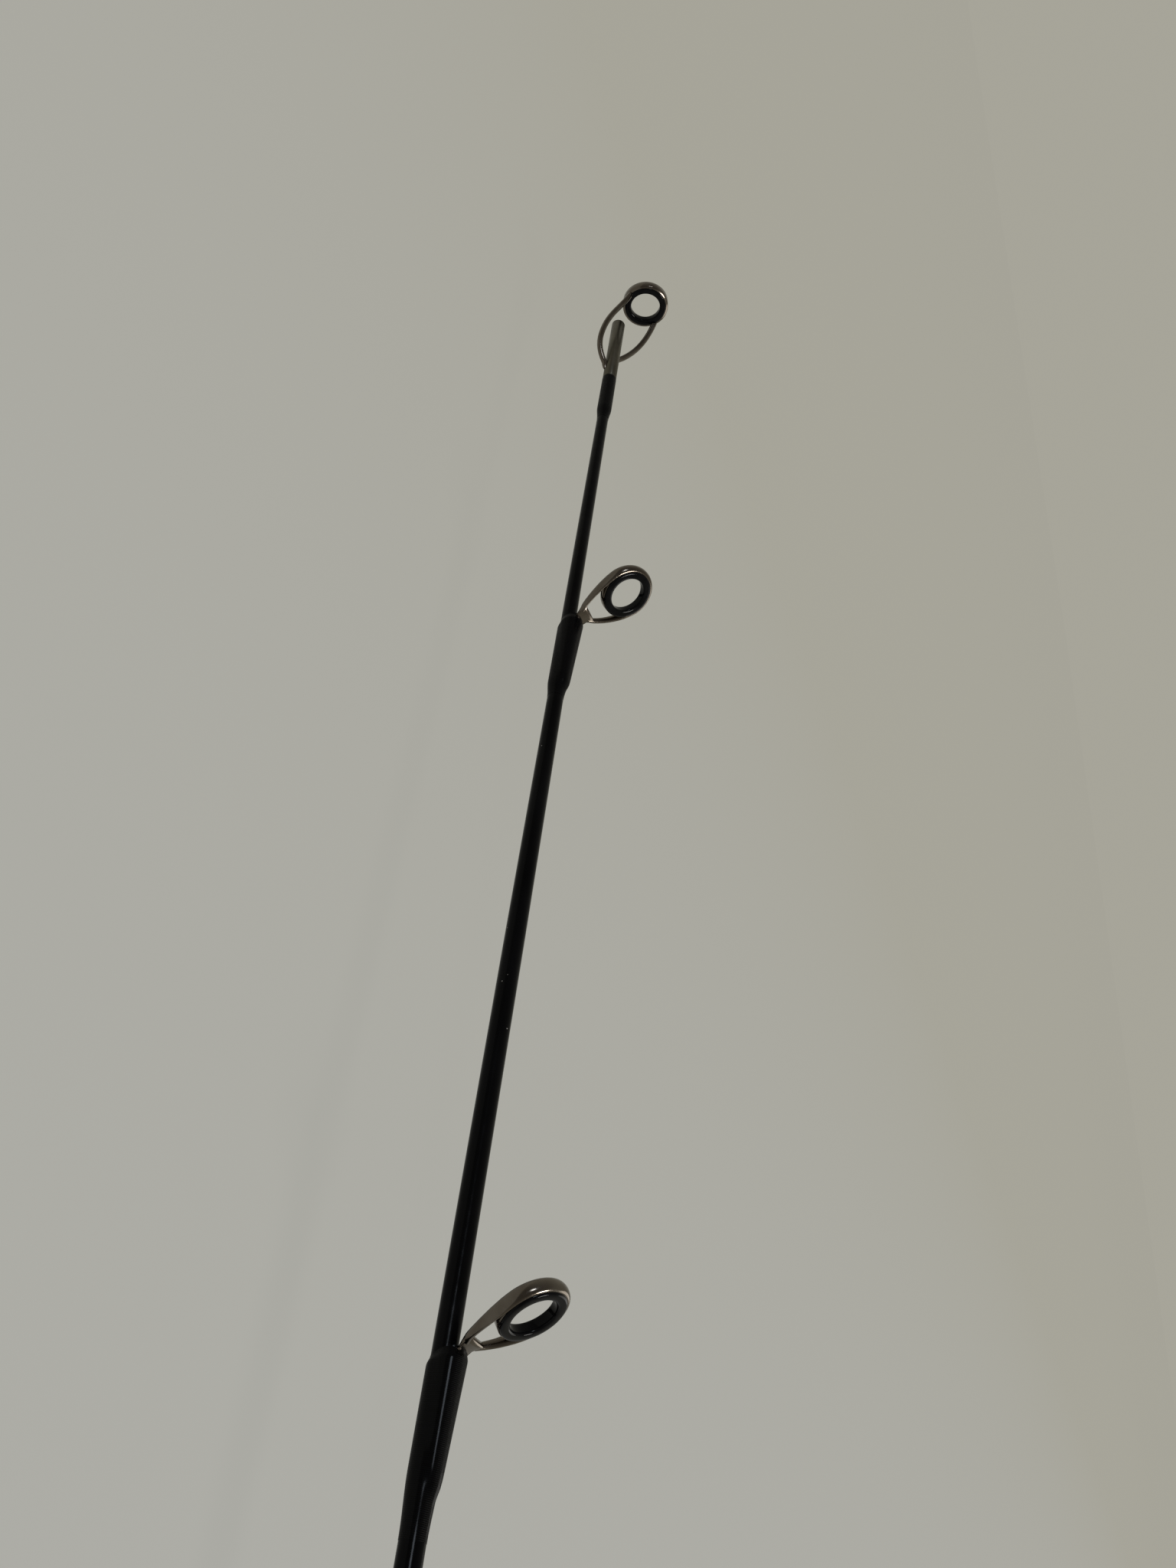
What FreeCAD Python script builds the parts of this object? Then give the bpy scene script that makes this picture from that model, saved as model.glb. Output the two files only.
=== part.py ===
import FreeCAD, Part
import math
import os
from collections import namedtuple
from types import SimpleNamespace

import Sketcher

# An ice fishing rod for a spinning reel.  Millimetres.  X runs along the rod from the butt to the
# tip, the guides and the reel stand on the +Z side, and the origin is the middle of the butt face.

DIMENSIONS = [
    # the whole rod
    ("overall_length", 711, "butt face to the foremost edge of the tip ring"),
    ("glue_gap", 0.04, "adhesive film between bonded pieces, on the radius"),
    ("run_gap", 0.2, "clearance between pieces that move on each other"),
    # the blank, a solid tapered stick; lengths are measured back from the tip ring
    ("blank_tip_radius", 0.72, "at the end that sits in the tip tube"),
    ("blank_soft_length", 78, "end of the soft tip"),
    ("blank_soft_radius", 0.96, ""),
    ("blank_middle_length", 112, "end of the fast taper"),
    ("blank_middle_radius", 1.07, ""),
    ("blank_slow_length", 170, "end of the slow taper"),
    ("blank_slow_radius", 1.13, ""),
    ("blank_grip_radius", 2.2, "where it enters the foregrip"),
    ("blank_butt_radius", 2.9, "at its buried end"),
    ("blank_butt_inset", 9, "butt face to the blank's end"),
    # the tip top
    ("tip_height", 4.0, "blank axis to ring centre"),
    ("tip_lean", 5, "degrees that the ring leans forward"),
    ("tube_radius", 0.98, "outside of the tip tube"),
    ("tube_front", 3.2, "ring centre back to the tube's closed end"),
    ("tube_length", 15.6, ""),
    ("tube_cap", 0.8, "closed end in front of the blank"),
    ("tip_wrap_start", 16.4, "ring centre back to the thread"),
    ("tip_wrap_length", 10, ""),
    ("brace_wire", 0.7, "diameter of the two braces"),
    ("brace_rise", 0.65, "ring centre up to the brace on the collar"),
    ("brace_landing", 13, "ring centre back to where the braces meet the tube"),
    ("brace_drop", 0.8, "axis down to the braces where they meet the tube"),
    ("brace_sink", 0.15, "how deep the tube's wall is let into a brace"),
    ("brace_bow", 19, "radius of the brace's outward bow"),
    # rings and frames, in three sizes
    ("small_bore", 4.3, "inside diameter of the ceramic"),
    ("small_ring_wall", 1.0, "ceramic, bore to rim"),
    ("small_ring_depth", 1.25, "ceramic, face to face"),
    ("small_leg", 0.6, "width of a frame leg"),
    ("small_foot_width", 1.8, ""),
    ("small_foot_length", 10.5, ""),
    ("medium_bore", 5.9, ""),
    ("medium_ring_wall", 1.2, ""),
    ("medium_ring_depth", 1.45, ""),
    ("medium_leg", 0.7, ""),
    ("medium_foot_width", 2.2, ""),
    ("medium_foot_length", 12, ""),
    ("large_bore", 9.3, ""),
    ("large_ring_wall", 1.5, ""),
    ("large_ring_depth", 1.8, ""),
    ("large_leg", 0.85, ""),
    ("large_foot_width", 2.8, ""),
    ("large_foot_length", 14, ""),
    ("collar_wall", 0.42, "metal round the ceramic"),
    ("ring_proud", 0.12, "ceramic stands out of the collar's rear"),
    ("lip_width", 0.3, "inward lip that stops the ceramic"),
    ("lip_thickness", 0.3, ""),
    ("lip_recess", 0.5, "collar rim in front of the lip"),
    ("collar_round", 0.32, "outer edge on the rear side"),
    ("collar_bevel", 0.25, "outer edge on the front side"),
    ("guide_lean", 33, "degrees that a guide leans forward"),
    ("leg_slope", 25, "degrees between a leg and the frame's middle line"),
    ("plate_thickness", 0.8, "frame just above the foot"),
    ("foot_thickness", 0.75, "at the bend"),
    ("foot_tip_thickness", 0.18, ""),
    ("foot_tip_width", 0.8, ""),
    ("bend_round", 0.5, "outside of the bend"),
    ("neck_round", 1.2, "where the legs run in to the foot"),
    ("window_sill", 1.8, "window to the top of the foot, along the frame"),
    ("window_round", 0.35, ""),
    ("guide_1_back", 63.4, "tip ring centre to ring centre"),
    ("guide_1_height", 7.3, "blank axis to ring centre"),
    ("guide_2_back", 150, ""),
    ("guide_2_height", 7.6, ""),
    ("guide_3_back", 258, ""),
    ("guide_3_height", 10.5, ""),
    ("guide_4_back", 376, ""),
    ("guide_4_height", 14.5, ""),
    ("wrap_build", 0.24, "thread and varnish over what they cover"),
    ("wrap_edge", 0.08, "thickness where a wrap runs out"),
    ("wrap_tail", 1.6, "wrap past the end of the foot"),
    # hook keeper
    ("keeper_gap", 9, "winding check to the keeper's wrap"),
    ("keeper_wire", 0.9, "wire diameter"),
    ("keeper_foot", 5, "straight foot at each end"),
    ("keeper_span", 7, "foot to foot"),
    ("keeper_reach", 5.0, "loop above the feet"),
    ("keeper_bend", 1.3, ""),
    # grips
    ("butt_cap_length", 18, ""),
    ("butt_cap_radius", 14, ""),
    ("butt_cap_floor", 4, ""),
    ("butt_cap_wall", 2.4, ""),
    ("butt_cap_round", 3, ""),
    ("rear_grip_end", 110, "butt face to the front of the rear grip"),
    ("rear_grip_swell", 13.6, "largest radius"),
    ("rear_grip_waist", 12.4, ""),
    ("rear_grip_waist_place", 70, ""),
    ("rear_grip_neck", 10.8, ""),
    ("rear_grip_bow", 420, "radius of the curve behind the waist"),
    ("rear_grip_hollow", 444, "radius of the curve in front of the waist"),
    ("trim_ring_length", 3, ""),
    ("trim_ring_radius", 11, ""),
    ("trim_ring_bevel", 0.4, ""),
    ("foregrip_length", 60, ""),
    ("foregrip_neck", 6.3, "radius at its front end"),
    ("foregrip_neck_rear", 10.8, "radius at its rear end"),
    ("foregrip_bow", 240, "radius of its long curve"),
    ("check_length", 4.5, "winding check"),
    ("check_rim", 1.2, ""),
    ("check_wall", 0.8, "at its front edge"),
    # reel seat
    ("seat_end_room", 2.5, "nut to the seat's rear end"),
    ("seat_radius", 8.5, ""),
    ("seat_bore", 5.5, "radius"),
    ("bed_margin", 0.5, "hood mouth to the end of the bed"),
    ("bed_height", 7.0, "axis to the bed that the reel foot rests on"),
    ("flat_height", 6.6, "axis to the lower flat, outside the bed"),
    ("arbor_length", 14, ""),
    ("arbor_inset", 8, "seat end to arbor"),
    ("hood_length", 16, "fixed hood"),
    ("slide_hood_length", 18, "sliding hood"),
    ("hood_radius", 10.3, "round part, at the mouth"),
    ("hood_neck_radius", 10.9, "round part, at the closed end"),
    ("arch_radius", 8.4, "arch over the mouth"),
    ("arch_centre", 6.8, "its centre above the axis"),
    ("neck_arch_radius", 10.2, "arch at the closed end"),
    ("neck_arch_centre", 1.2, ""),
    ("pocket_depth", 9, "room for the end of a reel foot"),
    ("pocket_half_width", 6.2, ""),
    ("pocket_top", 13, "at the mouth"),
    ("pocket_inner_top", 12, ""),
    ("pocket_round", 3, ""),
    ("pocket_root", 5, "axis to the bottom of the cut, inside the bore"),
    ("foot_room", 52, "hood mouth to hood mouth, open"),
    ("hood_travel", 18, "how far the nut drives the sliding hood"),
    ("nut_radius", 11.5, ""),
    ("nut_length", 11.2, "fluted part"),
    ("nut_stand_off", 0.3, "nut to the rear of the hood"),
    ("nut_nose_length", 4.2, "ring that snaps into the hood"),
    ("nut_nose_room", 0.4, "nose to the floor of its recess"),
    ("nut_bead_place", 1.5, "fluted part to the bead"),
    ("nut_nose_radius", 9.5, ""),
    ("nut_bead", 0.3, "snap bead above the nose"),
    ("nut_bead_width", 1.2, ""),
    ("nut_edge", 1.0, ""),
    ("flute_count", 14, ""),
    ("flute_radius", 1.5, ""),
    ("flute_depth", 0.8, ""),
]

Corner = namedtuple("Corner", "x y rounding arc large")


class Size:
    """A number that also knows the spreadsheet formula it comes from."""

    def __init__(self, value, formula=None):
        self.value = float(value)
        self.formula = formula or "({!r})".format(float(value))

    def __add__(self, other):
        return joined(self, "+", other)

    def __radd__(self, other):
        return joined(other, "+", self)

    def __sub__(self, other):
        return joined(self, "-", other)

    def __rsub__(self, other):
        return joined(other, "-", self)

    def __mul__(self, other):
        return joined(self, "*", other)

    def __rmul__(self, other):
        return joined(other, "*", self)

    def __truediv__(self, other):
        return joined(self, "/", other)

    def __rtruediv__(self, other):
        return joined(other, "/", self)

    def __neg__(self):
        return joined(0, "-", self)


def as_size(number):
    return number if isinstance(number, Size) else Size(number)


def joined(left, sign, right):
    left = as_size(left)
    right = as_size(right)
    results = {
        "+": lambda: left.value + right.value,
        "-": lambda: left.value - right.value,
        "*": lambda: left.value * right.value,
        "/": lambda: left.value / right.value,
    }
    return Size(results[sign](), "({} {} {})".format(left.formula, sign, right.formula))


def sine(degrees):
    return Size(math.sin(math.radians(degrees.value)), "sin({})".format(degrees.formula))


def cosine(degrees):
    return Size(math.cos(math.radians(degrees.value)), "cos({})".format(degrees.formula))


def angle_of(rise, run):
    """Degrees of a slope."""
    return Size(math.degrees(math.atan2(rise.value, run.value)),
                "atan2({}; {})".format(rise.formula, run.formula))


def root(number):
    return Size(math.sqrt(number.value), "sqrt({})".format(number.formula))


def bind(thing, prop, size):
    """Tie a property to its spreadsheet formula."""
    thing.setExpression(prop, as_size(size).formula)


doc = FreeCAD.newDocument("ice_fishing_rod")
sheet = doc.addObject("Spreadsheet::Sheet", "sizes")
size = SimpleNamespace()
for row, (alias, value, note) in enumerate(DIMENSIONS, start=1):
    sheet.set("A{}".format(row), alias)
    sheet.set("B{}".format(row), str(value))
    sheet.set("C{}".format(row), note)
    sheet.setAlias("B{}".format(row), alias)
    setattr(size, alias, Size(value, "<<sizes>>.{}".format(alias)))
doc.recompute()


# ---- sketches

def corner(x, y, rounding=None, arc=None, large=False):
    """A corner of an outline.  arc is the radius of the edge that leaves it: plus turns left."""
    return Corner(as_size(x), as_size(y), rounding, arc, large)


def tangent_points(before, at, after, radius):
    """Where a rounding of this radius leaves the two straight edges of a corner, and its centre."""
    to_before = (before - at).normalize()
    to_after = (after - at).normalize()
    half = to_before.getAngle(to_after) / 2
    reach = radius / math.tan(half)
    middle = (to_before + to_after).normalize() * (radius / math.sin(half))
    return at + to_before * reach, at + to_after * reach, at + middle


def arc_between(start, end, centre, turns_left):
    """A circular arc for a sketch, and the numbers of its first and last points along the route."""
    circle = Part.Circle(centre, FreeCAD.Vector(0, 0, 1), (start - centre).Length)
    first, last = (start, end) if turns_left else (end, start)
    angles = [math.atan2(point.y - centre.y, point.x - centre.x) for point in (first, last)]
    if angles[1] <= angles[0]:
        angles[1] += 2 * math.pi
    arc = Part.ArcOfCircle(circle, angles[0], angles[1])
    return arc, (1, 2) if turns_left else (2, 1)


def arc_centre(start, end, radius, large):
    """Centre of the arc from start to end: left of the way for a plus radius, unless it is large."""
    chord = end - start
    left = FreeCAD.Vector(-chord.y, chord.x, 0).normalize()
    away = math.sqrt(max(radius ** 2 - (chord.Length / 2) ** 2, 0))
    side = 1 if (radius > 0) != large else -1
    return (start + end) * 0.5 + left * (away * side)


def place_point(sketch, geometry, number, x, y):
    for kind, distance in (("DistanceX", x), ("DistanceY", y)):
        rule = Sketcher.Constraint(kind, -1, 1, geometry, number, distance.value)
        bind(sketch, "Constraints[{}]".format(sketch.addConstraint(rule)), distance)


def set_radius(sketch, geometry, radius):
    rule = Sketcher.Constraint("Radius", geometry, abs(radius.value))
    wanted = radius if radius.value > 0 else -radius
    bind(sketch, "Constraints[{}]".format(sketch.addConstraint(rule)), wanted)


def outline(sketch, corners, closed=True):
    """Draw one outline or open path, fully dimensioned from the sketch's origin."""
    count = len(corners)
    points = [FreeCAD.Vector(each.x.value, each.y.value, 0) for each in corners]
    starts = list(points)
    ends = list(points)
    roundings = {}
    for i, each in enumerate(corners):
        if each.rounding is not None:
            cut = tangent_points(points[i - 1], points[i], points[(i + 1) % count],
                                 each.rounding.value)
            ends[i], starts[i], roundings[i] = cut
    edges = []
    for i, each in enumerate(corners if closed else corners[:-1]):
        start = starts[i]
        end = ends[(i + 1) % count]
        if each.arc is None:
            number = sketch.addGeometry(Part.LineSegment(start, end), False)
            edges.append((number, 1, 2))
        else:
            centre = arc_centre(start, end, each.arc.value, each.large)
            curve, (first, last) = arc_between(start, end, centre, each.arc.value > 0)
            number = sketch.addGeometry(curve, False)
            edges.append((number, first, last))
    if not closed:
        place_point(sketch, edges[0][0], edges[0][1], corners[0].x, corners[0].y)
        place_point(sketch, edges[-1][0], edges[-1][2], corners[-1].x, corners[-1].y)
    for i, each in enumerate(corners):
        if not closed and i in (0, count - 1):
            continue
        before, _, before_end = edges[i - 1]
        after, after_start, _ = edges[i]
        if i not in roundings:
            sketch.addConstraint(Sketcher.Constraint("Coincident", before, before_end,
                                                     after, after_start))
            place_point(sketch, after, after_start, each.x, each.y)
            continue
        turn = (points[i] - points[i - 1]).cross(points[(i + 1) % count] - points[i]).z
        curve, (first, last) = arc_between(ends[i], starts[i], roundings[i], turn > 0)
        bend = sketch.addGeometry(curve, False)
        peak = sketch.addGeometry(Part.Point(points[i]), True)
        place_point(sketch, peak, 1, each.x, each.y)
        for line in (before, after):
            sketch.addConstraint(Sketcher.Constraint("PointOnObject", peak, 1, line))
        sketch.addConstraint(Sketcher.Constraint("Tangent", before, before_end, bend, first))
        sketch.addConstraint(Sketcher.Constraint("Tangent", bend, last, after, after_start))
        set_radius(sketch, bend, each.rounding)
    for i, each in enumerate(corners):
        if each.arc is not None:
            set_radius(sketch, edges[i][0], each.arc)


def circle(sketch, radius, x=0, y=0):
    centre = FreeCAD.Vector(as_size(x).value, as_size(y).value, 0)
    number = sketch.addGeometry(Part.Circle(centre, FreeCAD.Vector(0, 0, 1), radius.value), False)
    place_point(sketch, number, 3, as_size(x), as_size(y))
    set_radius(sketch, number, radius)


def egg(sketch, low_radius, high_radius, high_centre):
    """A round on the axis and a second round above it, joined by the lines that touch both."""
    low = low_radius.value
    high = high_radius.value
    rise = high_centre.value
    lean = math.asin((low - high) / rise)
    side = FreeCAD.Vector(math.cos(lean), math.sin(lean), 0)
    other = FreeCAD.Vector(-side.x, side.y, 0)
    top = FreeCAD.Vector(0, rise, 0)
    axis = FreeCAD.Vector(0, 0, 1)
    below = Part.ArcOfCircle(Part.Circle(FreeCAD.Vector(), axis, low),
                             math.pi - lean, 2 * math.pi + lean)
    above = Part.ArcOfCircle(Part.Circle(top, axis, high), lean, math.pi - lean)
    right = Part.LineSegment(side * low, top + side * high)
    left = Part.LineSegment(top + other * high, other * low)
    numbers = [sketch.addGeometry(each, False) for each in (below, right, above, left)]
    ends = [(0, 2, 1, 1), (1, 2, 2, 1), (2, 2, 3, 1), (3, 2, 0, 1)]
    for first, first_end, second, second_end in ends:
        sketch.addConstraint(Sketcher.Constraint("Tangent", numbers[first], first_end,
                                                 numbers[second], second_end))
    place_point(sketch, numbers[0], 3, Size(0), Size(0))
    place_point(sketch, numbers[2], 3, Size(0), high_centre)
    set_radius(sketch, numbers[0], low_radius)
    set_radius(sketch, numbers[2], high_radius)


# ---- features

def new_body(label):
    body = doc.addObject("PartDesign::Body", label)
    body.Label = label
    return body


def plane_of(body, role):
    return next(each for each in body.Origin.OriginFeatures if each.Role == role)


def new_sketch(body, role, away=None):
    """A sketch on one of the body's own planes, or parallel to it at a distance."""
    sketch = body.newObject("Sketcher::SketchObject", body.Label + "_sketch")
    sketch.AttachmentSupport = [(plane_of(body, role), "")]
    sketch.MapMode = "FlatFace"
    if away is not None:
        bind(sketch, "AttachmentOffset.Base.z", away)
    return sketch


def tilt_sketch(sketch, angle, base, axis=FreeCAD.Vector(0, 1, 0)):
    """Turn a sketch about an axis of its own plane, at a base point in that plane's directions."""
    sketch.AttachmentOffset = FreeCAD.Placement(FreeCAD.Vector(), FreeCAD.Rotation(axis, 1))
    bind(sketch, "AttachmentOffset.Rotation.Angle", angle)
    for direction, distance in zip("xyz", base):
        bind(sketch, "AttachmentOffset.Base." + direction, distance)


def pad(body, sketch, length, back=None):
    """Raise a sketch, and lower it too if a length back is given."""
    feature = body.newObject("PartDesign::Pad", body.Label + "_pad")
    feature.Profile = sketch
    bind(feature, "Length", length)
    if back is not None:
        feature.SideType = "Two sides"
        bind(feature, "Length2", back)
    doc.recompute()
    return feature


def pocket(body, sketch, length=None, both_ways=False, reverse=False):
    """Cut the sketch out of the body, all the way through unless a length is given."""
    before = body.Shape.Volume
    feature = body.newObject("PartDesign::Pocket", body.Label + "_pocket")
    feature.Profile = sketch
    feature.SideType = "Symmetric" if both_ways else "One side"
    feature.Reversed = reverse
    if length is None:
        feature.Type = "ThroughAll"
    else:
        bind(feature, "Length", length)
    doc.recompute()
    if not body.Shape.Volume < before:
        raise RuntimeError(feature.Label + " cuts nothing")
    return feature


def revolve(body, sketch, axis="H_Axis", kind="PartDesign::Revolution"):
    feature = body.newObject(kind, body.Label + "_turned")
    feature.Profile = sketch
    feature.ReferenceAxis = (sketch, [axis])
    feature.Angle = 360
    doc.recompute()
    return feature


def loft(body, sketches, kind="PartDesign::AdditiveLoft"):
    feature = body.newObject(kind, body.Label + "_loft")
    feature.Profile = sketches[0]
    feature.Sections = sketches[1:]
    doc.recompute()
    return feature


def pipe(body, section, path):
    doc.recompute()
    feature = body.newObject("PartDesign::AdditivePipe", body.Label + "_pipe")
    feature.Profile = section
    feature.Spine = path
    doc.recompute()
    return feature


def turned(label, corners):
    """A piece turned about the rod's axis from a half section: x along the rod, y the radius."""
    body = new_body(label)
    sketch = new_sketch(body, "XZ_Plane")
    outline(sketch, corners)
    revolve(body, sketch)
    return body


def cut(label, base, tool):
    """What is left of one object once another has taken its room."""
    result = doc.addObject("Part::Cut", label)
    result.Label = label
    result.Base = base
    result.Tool = tool
    doc.recompute()
    return result


# ---- where things lie along the rod

tip_outer = size.small_bore / 2 + size.small_ring_wall + size.collar_wall
collar_rear = size.small_ring_depth / 2 - size.ring_proud
collar_front = size.small_ring_depth / 2 + size.lip_thickness + size.lip_recess
tip_ring_place = size.overall_length - (collar_front * cosine(size.tip_lean)
                                        + tip_outer * sine(size.tip_lean))
seat_rear = size.rear_grip_end + size.trim_ring_length
nut_room = size.seat_end_room + size.nut_length + size.nut_stand_off
seat_front = seat_rear + nut_room + size.slide_hood_length + size.foot_room + size.hood_length
fixed_mouth = seat_front - size.hood_length
slide_mouth = fixed_mouth - size.foot_room
slide_rear = slide_mouth - size.slide_hood_length
foregrip_rear = seat_front + size.trim_ring_length
foregrip_front = foregrip_rear + size.foregrip_length
check_front = foregrip_front + size.check_length
nut_front = slide_rear - size.nut_stand_off

BLANK_STATIONS = [
    (size.blank_butt_inset, size.blank_butt_radius),
    (foregrip_front, size.blank_grip_radius),
    (tip_ring_place - size.blank_slow_length, size.blank_slow_radius),
    (tip_ring_place - size.blank_middle_length, size.blank_middle_radius),
    (tip_ring_place - size.blank_soft_length, size.blank_soft_radius),
    (tip_ring_place - size.tube_front - size.tube_cap, size.blank_tip_radius),
]


def blank_radius(place):
    """The blank's radius at a distance from the butt."""
    for (start, wide), (end, narrow) in zip(BLANK_STATIONS, BLANK_STATIONS[1:]):
        if place.value <= end.value:
            break
    return wide + (narrow - wide) * (place - start) / (end - start)


def bore_radius(place):
    return blank_radius(place) + size.glue_gap


# ---- blank and tip top

def make_blank():
    profile = [corner(place, radius) for place, radius in BLANK_STATIONS]
    first = corner(BLANK_STATIONS[0][0], 0)
    last = corner(BLANK_STATIONS[-1][0], 0)
    return turned("blank", [first] + profile + [last])


def make_tip_tube():
    front = tip_ring_place - size.tube_front
    rear = front - size.tube_length
    seat = front - size.tube_cap
    inside = bore_radius(rear)
    return turned("tip_tube", [
        corner(rear, inside),
        corner(seat, inside),
        corner(seat, 0),
        corner(front, 0),
        corner(front, size.tube_radius, rounding=size.tube_cap * 0.75),
        corner(rear, size.tube_radius),
    ])


def make_tip_wrap():
    front = tip_ring_place - size.tip_wrap_start
    rear = front - size.tip_wrap_length
    tube_rear = tip_ring_place - size.tube_front - size.tube_length
    full = size.tube_radius + size.wrap_build
    return turned("tip_wrap", [
        corner(front, size.tube_radius),
        corner(front, size.tube_radius + size.wrap_edge),
        corner(front - size.wrap_build * 2, full),
        corner(tube_rear, full),
        corner(rear, blank_radius(rear) + size.wrap_edge),
        corner(rear, blank_radius(rear)),
        corner(tube_rear, blank_radius(tube_rear)),
        corner(tube_rear, size.tube_radius),
    ])


# ---- rings and frames
# Their bodies are drawn with the ring's centre at the origin: x runs down the frame to the foot,
# z is the ring's axis towards the tip.  stand_up() then leans them and lifts them over the blank.

def ring_family(name):
    """The sizes of one ring and its frame."""
    bore = getattr(size, name + "_bore") / 2
    seat = bore + getattr(size, name + "_ring_wall")
    half = getattr(size, name + "_ring_depth") / 2
    return SimpleNamespace(
        bore=bore,
        seat=seat,
        outer=seat + size.collar_wall,
        half=half,
        rear=half - size.ring_proud,
        front=half + size.lip_thickness + size.lip_recess,
        leg=getattr(size, name + "_leg"),
        foot_half=getattr(size, name + "_foot_width") / 2,
        foot_length=getattr(size, name + "_foot_length"),
    )


def stand_up(body, place, height, lean):
    body.Placement = FreeCAD.Placement(FreeCAD.Vector(), FreeCAD.Rotation(FreeCAD.Vector(0, 1, 0), 1))
    bind(body, "Placement.Base.x", place)
    bind(body, "Placement.Base.z", height)
    bind(body, "Placement.Rotation.Angle", 90 + lean)
    doc.recompute()


def make_ring(label, family, place, height, lean):
    body = new_body(label)
    sketch = new_sketch(body, "XZ_Plane")
    rim = family.seat - size.glue_gap
    inner_round = family.half * 0.72
    bevel = size.ring_proud
    outline(sketch, [
        corner(family.bore, -family.half, rounding=inner_round),
        corner(rim - bevel, -family.half),
        corner(rim, bevel - family.half),
        corner(rim, family.half),
        corner(family.bore, family.half, rounding=inner_round),
    ])
    revolve(body, sketch, "V_Axis")
    stand_up(body, place, height, lean)
    return body


def add_collar(body, family):
    """The band that holds the ceramic, with a lip on its front side."""
    sketch = new_sketch(body, "XZ_Plane")
    lip = family.half + size.glue_gap
    outline(sketch, [
        corner(family.seat, -family.rear),
        corner(family.outer, -family.rear, rounding=size.collar_round),
        corner(family.outer, family.front - size.collar_bevel),
        corner(family.outer - size.collar_bevel, family.front),
        corner(family.seat, family.front),
        corner(family.seat, lip + size.lip_thickness),
        corner(family.seat - size.lip_width, lip + size.lip_thickness),
        corner(family.seat - size.lip_width, lip),
        corner(family.seat, lip),
    ])
    revolve(body, sketch, "V_Axis")


def make_tip_frame(tube):
    family = ring_family("small")
    body = new_body("tip_frame_form")
    add_collar(body, family)
    lean = size.tip_lean
    wire = size.brace_wire / 2
    # both braces lie in one plane, from the collar's sides down to the tube's lower flanks
    start_down = -size.brace_rise
    start_deep = wire / 2 - family.rear
    hold = family.outer
    start_side = root(hold * hold - size.brace_rise * size.brace_rise)
    fall = size.tip_height + size.brace_drop
    land_down = size.brace_landing * sine(lean) + fall * cosine(lean)
    land_deep = fall * sine(lean) - size.brace_landing * cosine(lean)
    rest = size.tube_radius + wire - size.brace_sink
    land_side = root(rest * rest - size.brace_drop * size.brace_drop)
    run = land_down - start_down
    depth = start_deep - land_deep
    reach = root(run * run + depth * depth)
    tilt = angle_of(depth, run)
    path = new_sketch(body, "XY_Plane")
    tilt_sketch(path, tilt, (start_down, 0, start_deep))
    outline(path, [corner(0, start_side, arc=-size.brace_bow), corner(reach, land_side)],
            closed=False)
    section = new_sketch(body, "YZ_Plane")
    tilt_sketch(section, tilt, (0, start_deep, start_down), FreeCAD.Vector(1, 0, 0))
    circle(section, wire, start_side)
    brace = pipe(body, section, path)
    pair = body.newObject("PartDesign::Mirrored", "tip_frame_braces")
    pair.Originals = [brace]
    pair.MirrorPlane = (plane_of(body, "XZ_Plane"), [""])
    body.Tip = pair
    stand_up(body, tip_ring_place, size.tip_height, lean)
    return cut("tip_frame", body, tube)


def guide_numbers(number):
    """Where one guide stands, and the line that its foot lies on."""
    place = tip_ring_place - getattr(size, "guide_{}_back".format(number))
    height = getattr(size, "guide_{}_height".format(number))
    family = ring_family({1: "small", 2: "small", 3: "medium", 4: "large"}[number])
    lean = size.guide_lean
    foot_rear = place - height - family.foot_length
    drop = height - blank_radius(foot_rear) - size.glue_gap
    plate = size.plate_thickness / 2
    bend = (drop * sine(lean) - plate) / cosine(lean)
    return SimpleNamespace(place=place, height=height, family=family, drop=drop, plate=plate,
                           bend=bend, foot_end=bend + family.foot_length)


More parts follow.
